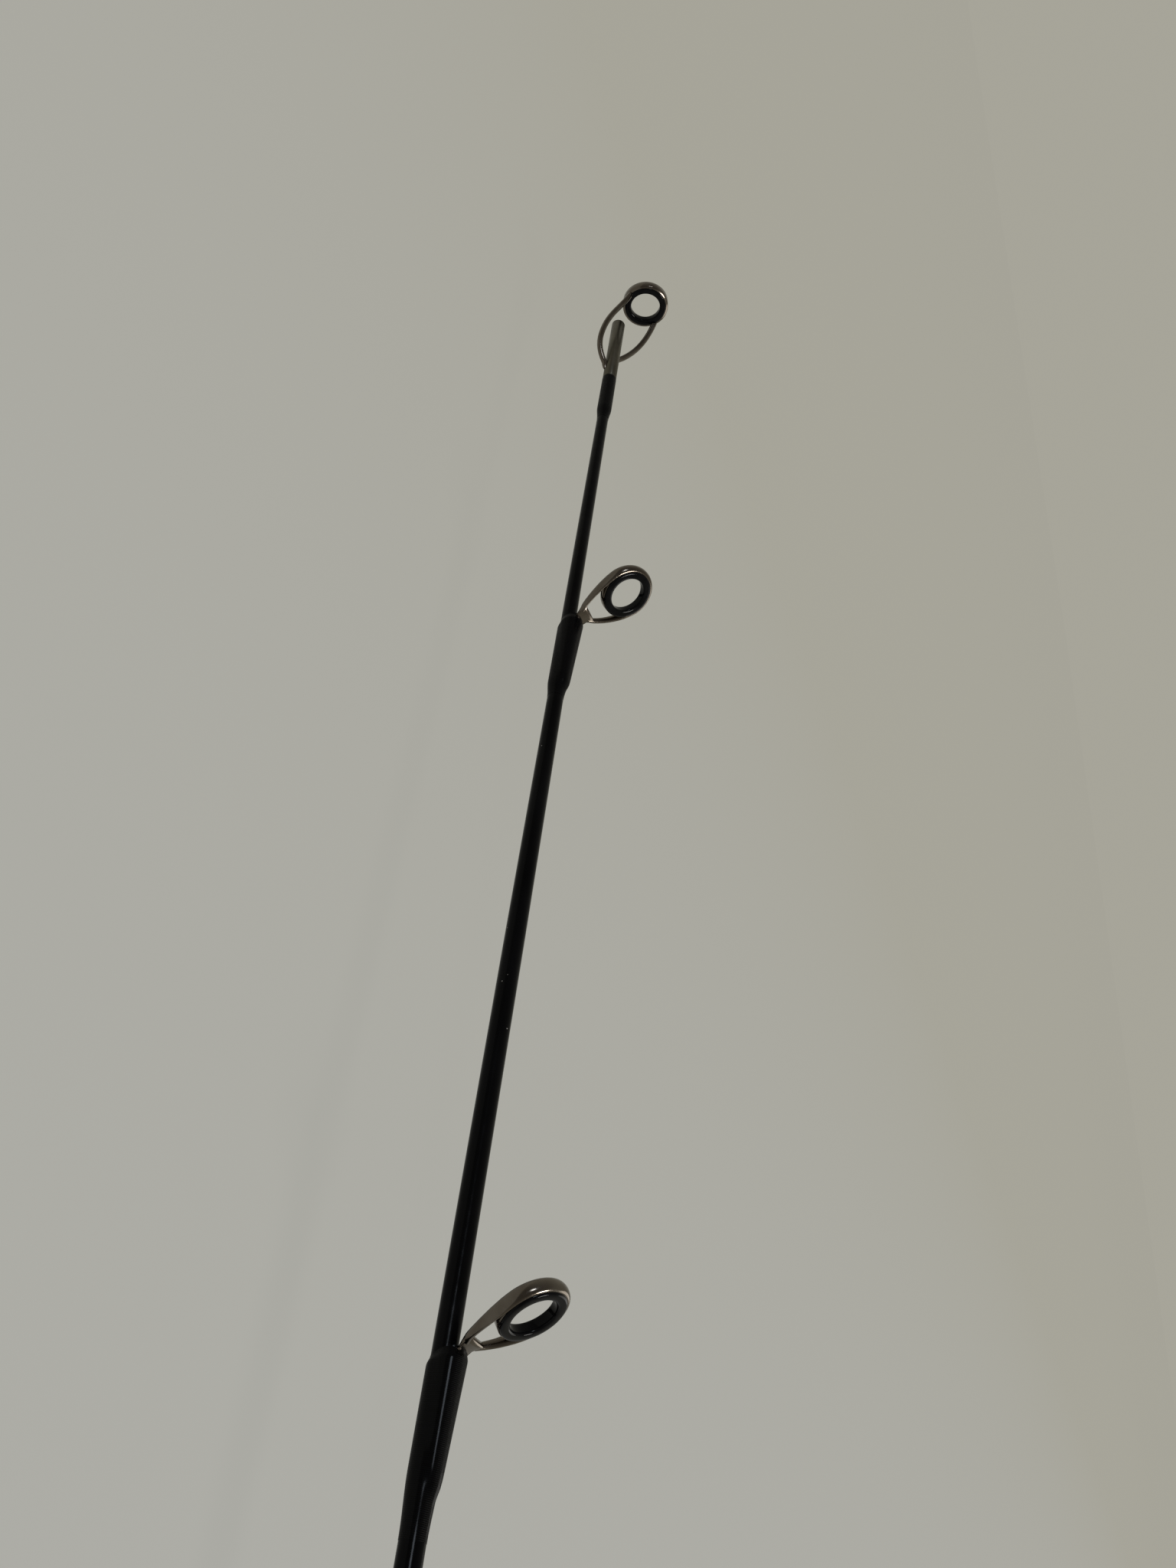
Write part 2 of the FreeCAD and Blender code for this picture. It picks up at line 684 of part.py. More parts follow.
def make_guide_frame(number):
    """A strip with a teardrop outline, bent at its foot, with a deep collar and a window."""
    guide = guide_numbers(number)
    family = guide.family
    body = new_body("guide_{}_frame".format(number))
    lean_sine = sine(size.guide_lean)
    lean_cosine = cosine(size.guide_lean)
    slope_sine = sine(size.leg_slope)
    slope_cosine = cosine(size.leg_slope)
    drop = guide.drop
    plate = guide.plate

    def over_blank(back):
        """The point of the foot's line that lies this far back from the ring's centre."""
        return drop * lean_cosine + back * lean_sine, drop * lean_sine - back * lean_cosine

    bend_down = (drop - plate * lean_sine) / lean_cosine
    heel_down = (drop + plate * lean_sine) / lean_cosine
    foot_top_down = (drop - size.foot_thickness + plate * lean_sine) / lean_cosine
    taper_end = foot_top_down - size.window_sill
    web_front = family.half + size.lip_thickness
    web_drop = web_front - plate
    sweep = (taper_end * taper_end + web_drop * web_drop) / (web_drop * 2)

    # outline, seen along the ring's axis: legs that run in to the width of the foot
    neck = (family.outer - family.foot_half * slope_cosine) / slope_sine
    sketch = new_sketch(body, "XY_Plane")
    outline(sketch, [
        corner(family.outer * slope_sine, family.outer * slope_cosine),
        corner(family.outer * slope_sine, -family.outer * slope_cosine),
        corner(neck, -family.foot_half, rounding=size.neck_round),
        corner(heel_down, -family.foot_half),
        corner(heel_down, family.foot_half),
        corner(neck, family.foot_half, rounding=size.neck_round),
    ])
    pad(body, sketch, family.front, back=family.rear)

    # side view: deep at the ring, thinner above the foot, cut off along the blank
    sketch = new_sketch(body, "XZ_Plane")
    away = family.outer * 6
    outline(sketch, [
        corner(-away, away),
        corner(-away, -away),
        corner(away, -away),
        corner(away, away),
    ])
    outline(sketch, [
        corner(-family.outer, web_front),
        corner(-family.outer, -plate),
        corner(heel_down, -plate),
        corner(bend_down, plate, rounding=size.bend_round),
        corner(taper_end, plate, arc=-sweep),
        corner(0, web_front),
    ])
    pocket(body, sketch, both_ways=True)

    # crowned foot that lies on the blank and thins to its end
    sections = []
    for back, thickness, half in (
        (guide.bend + plate, size.foot_thickness, family.foot_half),
        (guide.foot_end, size.foot_tip_thickness, size.foot_tip_width / 2),
    ):
        down, deep = over_blank(back)
        sketch = new_sketch(body, "XY_Plane")
        tilt_sketch(sketch, -size.guide_lean, (down, 0, deep))
        crown = (half * half + thickness * thickness) / (thickness * 2)
        outline(sketch, [corner(0, half, arc=crown), corner(0, -half)])
        sections.append(sketch)
    loft(body, sections)

    # window between the legs
    inner = family.outer - family.leg
    window_top = family.outer * 0.6
    sketch = new_sketch(body, "XY_Plane")
    top_half = (inner - window_top * slope_sine) / slope_cosine
    low_half = (inner - taper_end * slope_sine) / slope_cosine
    outline(sketch, [
        corner(window_top, -top_half),
        corner(taper_end, -low_half, rounding=size.window_round),
        corner(taper_end, low_half, rounding=size.window_round),
        corner(window_top, top_half),
    ])
    pocket(body, sketch, both_ways=True)
    add_collar(body, family)

    # room for the ceramic behind the lip
    sketch = new_sketch(body, "XY_Plane", away=-away)
    circle(sketch, family.seat)
    pocket(body, sketch, length=away + family.half + size.glue_gap, reverse=True)
    stand_up(body, guide.place, guide.height, size.guide_lean)
    return body


def arched_wrap(label, stations, blank, covered, turn_over=False):
    """Thread and varnish: round under the blank, arched over a foot that lies on the blank.

    Stations are place, build on the blank, height over the blank, half width of the arch.
    """
    form = new_body(label + "_form")
    sections = []
    for place, build, lift, half in stations:
        radius = blank_radius(place)
        low = radius + build
        arch = half if half.value < low.value else low * 0.97
        sketch = new_sketch(form, "YZ_Plane", away=place)
        egg(sketch, low, arch, radius + lift - arch)
        sections.append(sketch)
    loft(form, sections)
    if turn_over:
        form.Placement = UPSIDE_DOWN
    return cut(label, cut(label + "_round_blank", form, blank), covered)


def make_guide_wrap(number, blank, frame):
    guide = guide_numbers(number)
    front = guide.bend + guide.plate
    span = guide.foot_end - front
    full = size.wrap_build
    edge = size.wrap_edge
    foot = guide.family.foot_half
    tip = size.foot_tip_width / 2
    thick = size.foot_thickness
    stations = [
        (front, full * 0.6, thick + full * 0.6, foot + full * 0.6),
        (front + full * 3, full, thick + full, foot + full),
        (front + span * 0.55, full, thick * 0.6 + full, foot * 0.75 + full),
        (guide.foot_end, full, size.foot_tip_thickness + full, tip + full * 2),
        (guide.foot_end + size.wrap_tail, edge, edge * 1.6, tip + edge),
    ]
    stations = [(guide.place - back, build, lift, half) for back, build, lift, half in stations]
    return arched_wrap("guide_{}_wrap".format(number), stations, blank, frame)


# ---- hook keeper, drawn above the blank and turned over

UPSIDE_DOWN = FreeCAD.Placement(FreeCAD.Vector(), FreeCAD.Rotation(FreeCAD.Vector(1, 0, 0), 180))
keeper_rear = check_front + size.keeper_gap
keeper_front = keeper_rear + size.keeper_foot * 2 + size.keeper_span


def make_hook_keeper():
    body = new_body("hook_keeper")
    wire = size.keeper_wire / 2
    rest = blank_radius(keeper_rear) + size.glue_gap + wire
    top = rest + size.keeper_reach
    loop_rear = keeper_rear + size.keeper_foot
    loop_front = keeper_front - size.keeper_foot
    path = new_sketch(body, "XZ_Plane")
    outline(path, [
        corner(keeper_rear, rest),
        corner(loop_rear, rest, rounding=size.keeper_bend),
        corner(loop_rear + wire, top, rounding=size.keeper_bend),
        corner(loop_front - wire, top, rounding=size.keeper_bend),
        corner(loop_front, rest, rounding=size.keeper_bend),
        corner(keeper_front, rest),
    ], closed=False)
    section = new_sketch(body, "YZ_Plane", away=keeper_rear)
    circle(section, wire, 0, rest)
    pipe(body, section, path)
    body.Placement = UPSIDE_DOWN
    doc.recompute()
    return body


def make_keeper_wrap(label, outside, way, blank, keeper):
    """way is +1 for the rear foot, whose loop lies towards the tip, and -1 for the front foot."""
    wire = size.keeper_wire
    full = size.wrap_build
    edge = size.wrap_edge
    half = wire / 2 + full
    stations = [
        (outside - full * way * 5, edge, edge * 1.6, half),
        (outside, full, wire + full, half),
        (outside + (size.keeper_foot - size.keeper_bend) * way, full, wire + full, half),
    ]
    return arched_wrap(label, stations, blank, keeper, turn_over=True)


# ---- grips

def make_butt_cap():
    inside = size.butt_cap_radius - size.butt_cap_wall
    return turned("butt_cap", [
        corner(0, 0),
        corner(0, size.butt_cap_radius, rounding=size.butt_cap_round),
        corner(size.butt_cap_length, size.rear_grip_swell),
        corner(size.butt_cap_length, inside),
        corner(size.butt_cap_floor, inside),
        corner(size.butt_cap_floor, 0),
    ])


def make_rear_grip():
    spigot = size.butt_cap_radius - size.butt_cap_wall - size.glue_gap
    return turned("rear_grip", [
        corner(size.butt_cap_floor, 0),
        corner(size.butt_cap_floor, spigot),
        corner(size.butt_cap_length, spigot),
        corner(size.butt_cap_length, size.rear_grip_swell, arc=-size.rear_grip_bow),
        corner(size.rear_grip_waist_place, size.rear_grip_waist, arc=size.rear_grip_hollow),
        corner(size.rear_grip_end, size.rear_grip_neck),
        corner(size.rear_grip_end, bore_radius(size.rear_grip_end)),
        corner(size.blank_butt_inset, bore_radius(size.blank_butt_inset)),
        corner(size.blank_butt_inset, 0),
    ])


def make_trim_ring(label, rear):
    front = rear + size.trim_ring_length
    return turned(label, [
        corner(rear, bore_radius(rear)),
        corner(rear, size.trim_ring_radius - size.trim_ring_bevel),
        corner(rear + size.trim_ring_bevel, size.trim_ring_radius),
        corner(front - size.trim_ring_bevel, size.trim_ring_radius),
        corner(front, size.trim_ring_radius - size.trim_ring_bevel),
        corner(front, bore_radius(front)),
    ])


def make_foregrip():
    return turned("foregrip", [
        corner(foregrip_rear, bore_radius(foregrip_rear)),
        corner(foregrip_rear, size.foregrip_neck_rear, arc=-size.foregrip_bow),
        corner(foregrip_front, size.foregrip_neck),
        corner(foregrip_front, bore_radius(foregrip_front)),
    ])


def make_winding_check():
    bore = bore_radius(foregrip_front)
    return turned("winding_check", [
        corner(foregrip_front, bore),
        corner(foregrip_front, size.foregrip_neck),
        corner(foregrip_front + size.check_rim, size.foregrip_neck),
        corner(check_front, bore + size.check_wall),
        corner(check_front, bore),
    ])


# ---- reel seat

def make_seat_body():
    body = turned("seat_body", [
        corner(seat_rear, size.seat_bore),
        corner(seat_rear, size.seat_radius),
        corner(seat_front, size.seat_radius),
        corner(seat_front, size.seat_bore),
    ])
    bed_rear = slide_mouth + size.bed_margin
    bed_front = fixed_mouth - size.bed_margin
    sketch = new_sketch(body, "XZ_Plane")
    outline(sketch, [
        corner(seat_rear, size.flat_height),
        corner(bed_rear, size.flat_height),
        corner(bed_rear, size.bed_height),
        corner(bed_front, size.bed_height),
        corner(bed_front, size.flat_height),
        corner(seat_front, size.flat_height),
        corner(seat_front, size.seat_radius * 2),
        corner(seat_rear, size.seat_radius * 2),
    ])
    pocket(body, sketch, both_ways=True)
    return body


def make_arbor(label, rear):
    front = rear + size.arbor_length
    outside = size.seat_bore - size.glue_gap
    return turned(label, [
        corner(rear, bore_radius(rear)),
        corner(rear, outside),
        corner(front, outside),
        corner(front, bore_radius(front)),
    ])


def make_hood(label, mouth, neck, way, gap, flat):
    """An arched hood over the seat.  way is +1 when its pocket runs in towards the tip."""
    body = new_body(label)
    sections = []
    for place, low, arch, centre in (
        (mouth, size.hood_radius, size.arch_radius, size.arch_centre),
        (neck, size.hood_neck_radius, size.neck_arch_radius, size.neck_arch_centre),
    ):
        sketch = new_sketch(body, "YZ_Plane", away=place)
        egg(sketch, low, arch, centre)
        sections.append(sketch)
    loft(body, sections)

    # D-shaped bore, whose flat keeps the hood from turning on the seat
    bore = size.seat_radius + gap
    half = root(bore * bore - flat * flat)
    sketch = new_sketch(body, "YZ_Plane")
    outline(sketch, [corner(-half, flat, arc=bore, large=True), corner(half, flat)])
    pocket(body, sketch, both_ways=True)

    # pocket for the end of the reel's foot
    sections = []
    for place, top in (
        (mouth, size.pocket_top),
        (mouth + size.pocket_depth * way, size.pocket_inner_top),
    ):
        sketch = new_sketch(body, "YZ_Plane", away=place)
        outline(sketch, [
            corner(-size.pocket_half_width, size.pocket_root),
            corner(size.pocket_half_width, size.pocket_root),
            corner(size.pocket_half_width, top, rounding=size.pocket_round),
            corner(-size.pocket_half_width, top, rounding=size.pocket_round),
        ])
        sections.append(sketch)
    loft(body, sections, "PartDesign::SubtractiveLoft")
    return body


def make_sliding_hood():
    flat = size.bed_height + size.run_gap
    body = make_hood("sliding_hood", slide_mouth, slide_rear, -1, size.run_gap, flat)
    recess = size.nut_nose_radius + size.run_gap
    groove = recess + size.nut_bead
    floor = nut_front + size.nut_nose_length + size.nut_nose_room
    groove_rear = nut_front + size.nut_bead_place - size.run_gap
    groove_front = nut_front + size.nut_bead_place + size.nut_bead_width + size.run_gap
    sketch = new_sketch(body, "XZ_Plane")
    outline(sketch, [
        corner(slide_rear, 0),
        corner(floor, 0),
        corner(floor, recess),
        corner(groove_front, recess),
        corner(groove_front, groove),
        corner(groove_rear, groove),
        corner(groove_rear, recess),
        corner(slide_rear, recess),
    ])
    revolve(body, sketch, kind="PartDesign::Groove")
    return body


def make_lock_nut():
    rear = nut_front - size.nut_length
    bore = size.seat_radius + size.run_gap
    bead_rear = nut_front + size.nut_bead_place
    bead_front = bead_rear + size.nut_bead_width
    nose = nut_front + size.nut_nose_length
    body = turned("lock_nut", [
        corner(rear, bore),
        corner(rear, size.nut_radius - size.nut_edge),
        corner(rear + size.nut_edge, size.nut_radius),
        corner(nut_front - size.nut_edge, size.nut_radius),
        corner(nut_front, size.nut_radius - size.nut_edge),
        corner(nut_front, size.nut_nose_radius),
        corner(bead_rear, size.nut_nose_radius),
        corner(bead_rear, size.nut_nose_radius + size.nut_bead),
        corner(bead_front, size.nut_nose_radius + size.nut_bead),
        corner(bead_front, size.nut_nose_radius),
        corner(nose, size.nut_nose_radius),
        corner(nose, bore),
    ])
    sketch = new_sketch(body, "YZ_Plane")
    circle(sketch, size.flute_radius, 0, size.nut_radius + size.flute_radius - size.flute_depth)
    flute = pocket(body, sketch, both_ways=True)
    flutes = body.newObject("PartDesign::PolarPattern", "lock_nut_flutes")
    flutes.Originals = [flute]
    flutes.Axis = (sketch, ["N_Axis"])
    flutes.Angle = 360
    bind(flutes, "Occurrences", size.flute_count)
    body.Tip = flutes
    doc.recompute()
    return body


blank = make_blank()
tip_tube = make_tip_tube()
small = ring_family("small")
keeper = make_hook_keeper()
pieces = [
    make_butt_cap(),
    make_rear_grip(),
    make_trim_ring("rear_trim_ring", size.rear_grip_end),
    make_seat_body(),
    make_arbor("seat_arbor_rear", seat_rear + size.arbor_inset),
    make_arbor("seat_arbor_front", seat_front - size.arbor_inset - size.arbor_length),
    make_lock_nut(),
    make_sliding_hood(),
    make_hood("fixed_hood", fixed_mouth, seat_front, 1, size.glue_gap,
              size.flat_height + size.glue_gap),
    make_trim_ring("front_trim_ring", seat_front),
    make_foregrip(),
    make_winding_check(),
    keeper,
    make_keeper_wrap("hook_keeper_wrap_rear", keeper_rear, 1, blank, keeper),
    make_keeper_wrap("hook_keeper_wrap_front", keeper_front, -1, blank, keeper),
    blank,
    tip_tube,
    make_tip_frame(tip_tube),
    make_ring("tip_ring", small, tip_ring_place, size.tip_height, size.tip_lean),
    make_tip_wrap(),
]
for number in (1, 2, 3, 4):
    guide = guide_numbers(number)
    frame = make_guide_frame(number)
    pieces.append(frame)
    pieces.append(make_ring("guide_{}_ring".format(number), guide.family, guide.place,
                            guide.height, size.guide_lean))
    pieces.append(make_guide_wrap(number, blank, frame))

# ---- check everything, then write one file for each piece

doc.recompute()
for thing in doc.Objects:
    if "Invalid" in thing.State or "Error" in thing.State:
        raise RuntimeError("{} did not build: {}".format(thing.Label, thing.State))
for piece in pieces:
    if piece.Shape.isNull() or not piece.Shape.isValid():
        raise RuntimeError(piece.Label + " is not a valid shape")
os.makedirs("parts", exist_ok=True)
for piece in pieces:
    piece.Shape.exportStep("parts/{}.step".format(piece.Label))
    print("{:22s} {:2d} solid {:10.2f} mm3".format(
        piece.Label, len(piece.Shape.Solids), piece.Shape.Volume))
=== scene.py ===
from math import acos, atan2, copysign, cos, inf, pi, radians, sin, sqrt, tau

import bmesh
import bpy
from mathutils import Matrix, Vector


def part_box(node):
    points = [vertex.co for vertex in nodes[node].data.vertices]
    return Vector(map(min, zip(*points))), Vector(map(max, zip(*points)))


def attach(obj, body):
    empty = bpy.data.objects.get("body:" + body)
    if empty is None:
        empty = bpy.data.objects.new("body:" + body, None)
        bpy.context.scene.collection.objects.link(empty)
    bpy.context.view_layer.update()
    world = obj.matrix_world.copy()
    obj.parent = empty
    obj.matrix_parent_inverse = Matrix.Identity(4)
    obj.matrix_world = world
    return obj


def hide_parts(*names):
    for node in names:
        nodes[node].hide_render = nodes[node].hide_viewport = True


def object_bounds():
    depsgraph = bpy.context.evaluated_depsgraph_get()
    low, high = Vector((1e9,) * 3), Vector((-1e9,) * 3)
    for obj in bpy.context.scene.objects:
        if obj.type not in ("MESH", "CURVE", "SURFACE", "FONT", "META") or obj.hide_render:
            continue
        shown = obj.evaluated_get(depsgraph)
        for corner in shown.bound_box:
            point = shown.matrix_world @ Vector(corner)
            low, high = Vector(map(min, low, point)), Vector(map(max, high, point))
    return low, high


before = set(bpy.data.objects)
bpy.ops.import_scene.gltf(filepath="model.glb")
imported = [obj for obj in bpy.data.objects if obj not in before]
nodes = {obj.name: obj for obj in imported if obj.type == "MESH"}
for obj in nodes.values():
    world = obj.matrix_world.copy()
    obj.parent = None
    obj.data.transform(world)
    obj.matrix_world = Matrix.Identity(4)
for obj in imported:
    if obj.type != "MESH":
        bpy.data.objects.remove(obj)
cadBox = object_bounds()
scene = bpy.context.scene
mm = 0.001
rodAxis = Vector((1, 0, 0))
sideways = Vector((0, 1, 0))
upwards = Vector((0, 0, 1))
print("frame loaded:", len(nodes), "nodes")


def between(low, high, share):
    return low + (high - low) * share


def eased(value):
    value = min(max(value, 0), 1)
    return value * value * (3 - 2 * value)


def valueAt(table, place):  # table: (place, value) pairs
    if place <= table[0][0]:
        return table[0][1]
    for (before, low), (after, high) in zip(table, table[1:]):
        if place <= after:
            return low + (high - low) * (place - before) / (after - before)
    return table[-1][1]


def middleOf(node):  # middle of a node's box, in millimetres
    low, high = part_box(node)
    return (low + high) / (2 * mm)


def spanOf(node):  # first and last place of a node along the rod
    low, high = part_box(node)
    return low.x / mm, high.x / mm


def squared(value, power):  # pulls a unit circle towards a square where the power is below 1
    return copysign(abs(value) ** power, value)


def aheadAt(path, index):
    return (path[min(index + 1, len(path) - 1)] - path[max(index - 1, 0)]).normalized()


def placed(centre, *axes):
    return Matrix.Translation(centre) @ Matrix(axes).transposed().to_4x4()


def section(centre, across, up, halfWidth, halfHeight):
    return placed(centre, across, up, across.cross(up)) @ Matrix.Diagonal((halfWidth, halfHeight, 1, 1))


def sweepSections(bm, places, segments=16, square=1):  # one skin through a row of sections
    ring = bmesh.ops.create_circle(bm, cap_ends=True, segments=segments, radius=1)["verts"]
    for vert in ring:
        vert.co = (squared(vert.co.x, square), squared(vert.co.y, square), 0)
    bmesh.ops.transform(bm, matrix=places[0], verts=ring)
    face = ring[0].link_faces[0]
    for before, after in zip(places, places[1:]):
        grown = bmesh.ops.extrude_face_region(bm, geom=[face, *face.edges])["geom"]
        face = next(item for item in grown if isinstance(item, bmesh.types.BMFace))
        bmesh.ops.transform(bm, matrix=after @ before.inverted(), verts=face.verts)


def spinEdges(bm, geom, axis, steps):  # once round the axis
    bmesh.ops.spin(bm, geom=geom, cent=(0, 0, 0), axis=axis, dvec=(0, 0, 0), angle=tau, steps=steps,
                   use_merge=True, use_duplicate=False)


def spinProfile(bm, points, axis, steps, closed=True):
    corners = [bm.verts.new(point) for point in points]
    pairs = list(zip(corners, corners[1:])) + ([(corners[-1], corners[0])] if closed else [])
    spinEdges(bm, corners + [bm.edges.new(pair) for pair in pairs], axis, steps)


def softCorners(corners, steps=4):  # corners: (place, height, length taken off each side)
    points = []
    for index, (place, height, soft) in enumerate(corners):
        here = Vector((place, 0, height))
        if not soft:
            points.append(here)
            continue
        before, after = corners[index - 1], corners[(index + 1) % len(corners)]
        start = here + (Vector((before[0], 0, before[1])) - here).normalized() * soft
        end = here + (Vector((after[0], 0, after[1])) - here).normalized() * soft
        for step in range(steps + 1):
            share = step / steps
            points.append(start.lerp(here, share).lerp(here.lerp(end, share), share))
    return points


def wrapRings(bm, rings, around):
    # rings: (place, radius by angle); the skin closes on the first
    rows = len(rings)
    grid = bmesh.ops.create_grid(bm, x_segments=around, y_segments=rows, size=1)["verts"]
    for vert in grid:
        angle = tau * round((vert.co.x + 1) / 2 * around) / around
        place, radiusAt = rings[round((vert.co.y + 1) / 2 * rows) % rows]
        angle = angle if angle < pi else angle - tau
        radius = radiusAt(angle)
        vert.co = Vector((place, radius * sin(angle), radius * cos(angle)))


def turnOutwards(bm):  # a shell that encloses less than nothing is inside out
    bmesh.ops.recalc_face_normals(bm, faces=bm.faces)
    waiting = dict.fromkeys(bm.faces)
    while waiting:
        shell = [waiting.popitem()[0]]
        for face in shell:
            for near in (other for edge in face.edges for other in edge.link_faces):
                if near in waiting:
                    del waiting[near]
                    shell.append(near)
        if sum(face.calc_area() * face.normal.dot(face.calc_center_median()) for face in shell) < 0:
            bmesh.ops.reverse_faces(bm, faces=shell)


def addObject(name, data):
    made = bpy.data.objects.new(name, data)
    scene.collection.objects.link(made)
    return made


def addPiece(name, bm, slot, replaced, body="rod", sharpAngle=40):
    bmesh.ops.remove_doubles(bm, verts=bm.verts, dist=1e-4)
    turnOutwards(bm)
    bmesh.ops.scale(bm, vec=(mm, mm, mm), verts=bm.verts)
    mesh = bpy.data.meshes.new(name)
    bm.to_mesh(mesh)
    bm.free()
    mesh.shade_smooth()
    mesh.set_sharp_from_angle(angle=radians(sharpAngle))
    mesh.materials.append(finishes[slot])
    piece = addObject(name, mesh)
    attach(piece, body)
    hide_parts(*replaced)


def addTurned(name, slot, node, corners, steps=96, closed=True, softSteps=4, sharpAngle=40):
    bm = bmesh.new()
    spinProfile(bm, softCorners(corners, softSteps), rodAxis, steps, closed)
    addPiece(name, bm, slot, [node], sharpAngle=sharpAngle)


def addWrapped(name, slot, node, rings, around, body, sharpAngle):
    bm = bmesh.new()
    wrapRings(bm, rings, around)
    addPiece(name, bm, slot, [node], body, sharpAngle)


class Nodes:  # a node tree

    def __init__(self, tree):
        self.tree = tree

    def add(self, kind, sockets=(), **settings):
        made = self.tree.nodes.new("ShaderNode" + kind)
        for key, value in settings.items():
            setattr(made, key, value)
        for key, value in dict(sockets).items():
            self.join(value, made.inputs[key])
        return made

    def join(self, value, socket):
        if isinstance(value, bpy.types.NodeSocket):
            self.tree.links.new(value, socket)
        else:
            socket.default_value = value

    def sums(self, operation, first, second=0, third=0):
        return self.add("Math", {0: first, 1: second, 2: third}, operation=operation).outputs[0]

    def times(self, first, second):
        return self.sums("MULTIPLY", first, second)

    def blend(self, share, *tones):
        first, second = [(*tone, 1) if isinstance(tone, tuple) else tone for tone in tones]
        return self.add("Mix", data_type="RGBA", sockets={"Factor": share, 6: first, 7: second}).outputs[2]

    def range(self, value, low, high, fromLow=0.3, fromHigh=0.7):  # a noise keeps mostly to 0.3 to 0.7
        return self.add("MapRange", {"Value": value, "From Min": fromLow, "From Max": fromHigh,
                                     "To Min": low, "To Max": high}).outputs["Result"]

    def seenRays(self):  # 1 for camera, gloss and clear plastic, 0 for light on the object
        rays = self.add("LightPath")
        total = rays.outputs["Is Camera Ray"]
        for name in ("Is Glossy Ray", "Is Transmission Ray"):
            total = self.sums("MAXIMUM", total, rays.outputs[name])
        return total


class Finish(Nodes):  # a material

    def __init__(self, name, **sockets):
        self.material = bpy.data.materials.new(name)
        self.material.use_nodes = True
        super().__init__(self.material.node_tree)
        self.shader = self.tree.nodes["Principled BSDF"]
        for key, value in sockets.items():
            self.shader.inputs[key.replace("_", " ")].default_value = value
        self.place = self.add("TexCoord").outputs["Object"]

    def stretched(self, x=1, y=1, z=1, shift=(0, 0, 0), place=None):
        return self.add("Mapping", {"Vector": place or self.place, "Scale": (x, y, z),
                                    "Location": shift}).outputs["Vector"]

    def along(self):
        return self.add("SeparateXYZ", {"Vector": self.place}).outputs["X"]

    def noise(self, scale, detail=3, place=None, roughness=0.5):
        return self.add("TexNoise", {"Vector": place or self.place, "Scale": scale, "Detail": detail,
                                     "Roughness": roughness}).outputs["Fac"]

    def bands(self, scale, distortion, detailScale=1):  # even rings along the rod
        return self.add("TexWave", {"Vector": self.place, "Scale": scale, "Distortion": distortion,
                                    "Detail": 1, "Detail Scale": detailScale},
                        wave_type="BANDS", bands_direction="X", wave_profile="SIN").outputs["Fac"]

    def cells(self, scale, place=None):
        return self.add("TexVoronoi", {"Vector": place or self.place, "Scale": scale}, feature="F1")

    def ramp(self, value, *stops):
        made = self.add("ValToRGB", {"Fac": value})
        bands = made.color_ramp.elements
        while len(bands) < len(stops):
            bands.new(0.5)
        for band, (position, colour) in zip(bands, stops):
            band.position = position
            band.color = (*colour, 1)
        return made.outputs["Color"]

    def shades(self, value, base, darker, lighter):
        dark, light = [tuple(share * part for part in base) for share in (darker, lighter)]
        return self.ramp(value, (0.3, dark), (0.75, light))

    def bump(self, height, depth, under=None, socket="Normal"):
        made = self.add("Bump", {"Height": height, "Distance": depth * mm, "Strength": 1})
        if under is not None:
            self.join(under, made.inputs["Normal"])
        self.join(made.outputs["Normal"], self.shader.inputs[socket])
        return made.outputs["Normal"]

    def done(self, colour, rough, height, depth, under=None):
        self.join(colour, self.shader.inputs["Base Color"])
        self.join(rough, self.shader.inputs["Roughness"])
        self.bump(height, depth, under)
        return self.material


# finishes: colours from dark to light, roughness from low to high, bump depths in millimetres, and
# scales of noises per metre

def makeBlankLacquer(dark=(0.001, 0.001, 0.0012), light=(0.0024, 0.0024, 0.0028), rough=(0.1, 0.24),
                     smudges=90, tape=190, tapeDepth=0.004, peel=1100, peelDepth=0.006,
                     dustTone=(0.22, 0.21, 0.19), dustRough=0.8, motes=1400, size=0.09, rare=0.86, patches=38):
    look = Finish("blankLacquer", IOR=1.45, Specular_IOR_Level=0.09)
    smudge = look.noise(smudges, 4)
    # dust: pale motes in patches
    mote = look.cells(motes)
    small = look.sums("LESS_THAN", mote.outputs["Distance"], size)
    chance = look.add("SeparateColor", {"Color": mote.outputs["Color"]}).outputs[0]
    patch = look.sums("GREATER_THAN", look.noise(patches, 2), 0.52)
    dust = look.times(look.times(small, look.sums("GREATER_THAN", chance, rare)), patch)
    base = look.ramp(smudge, (0.35, dark), (0.7, light))
    dusty = look.sums("MAXIMUM", look.range(smudge, *rough), look.times(dust, dustRough))
    under = look.bump(look.bands(tape, 0.6), tapeDepth)
    return look.done(look.blend(dust, base, dustTone), dusty, look.noise(peel, 2), peelDepth, under)


def makeThreadWrap(dark=(0.0004, 0.0004, 0.0005), light=(0.0022, 0.0022, 0.003), rough=(0.35, 0.6),
                   strands=2100, strandDepth=0.03, paintedSheens=700, varnish=240, varnishDepth=0.008):
    look = Finish("threadWrap", IOR=1.4, Specular_IOR_Level=0.03,
                  Coat_Weight=0.2, Coat_Roughness=0.14, Coat_IOR=1.4)
    # thread colour: bands lighter on each strand's crest and darker between strands are painted highlight and
    # painted shade, and noise patches of painted sheen brighten them; the same bands give the bump
    thread = look.bands(strands, 0.25, detailScale=0.4)
    paintedSheenAndRoughness = look.noise(paintedSheens, place=look.stretched(x=4))
    paintedStrandHighlight = look.times(thread, look.range(paintedSheenAndRoughness, 0.4, 1))
    look.bump(look.noise(varnish, 1), varnishDepth, socket="Coat Normal")
    # the base colour ramp carries the painted strand highlight, shade and sheen; roughness follows the sheen
    # noise
    return look.done(look.ramp(paintedStrandHighlight, (0.1, dark), (0.95, light)), look.range(paintedSheenAndRoughness, *rough, 0, 1),
                     thread, strandDepth)


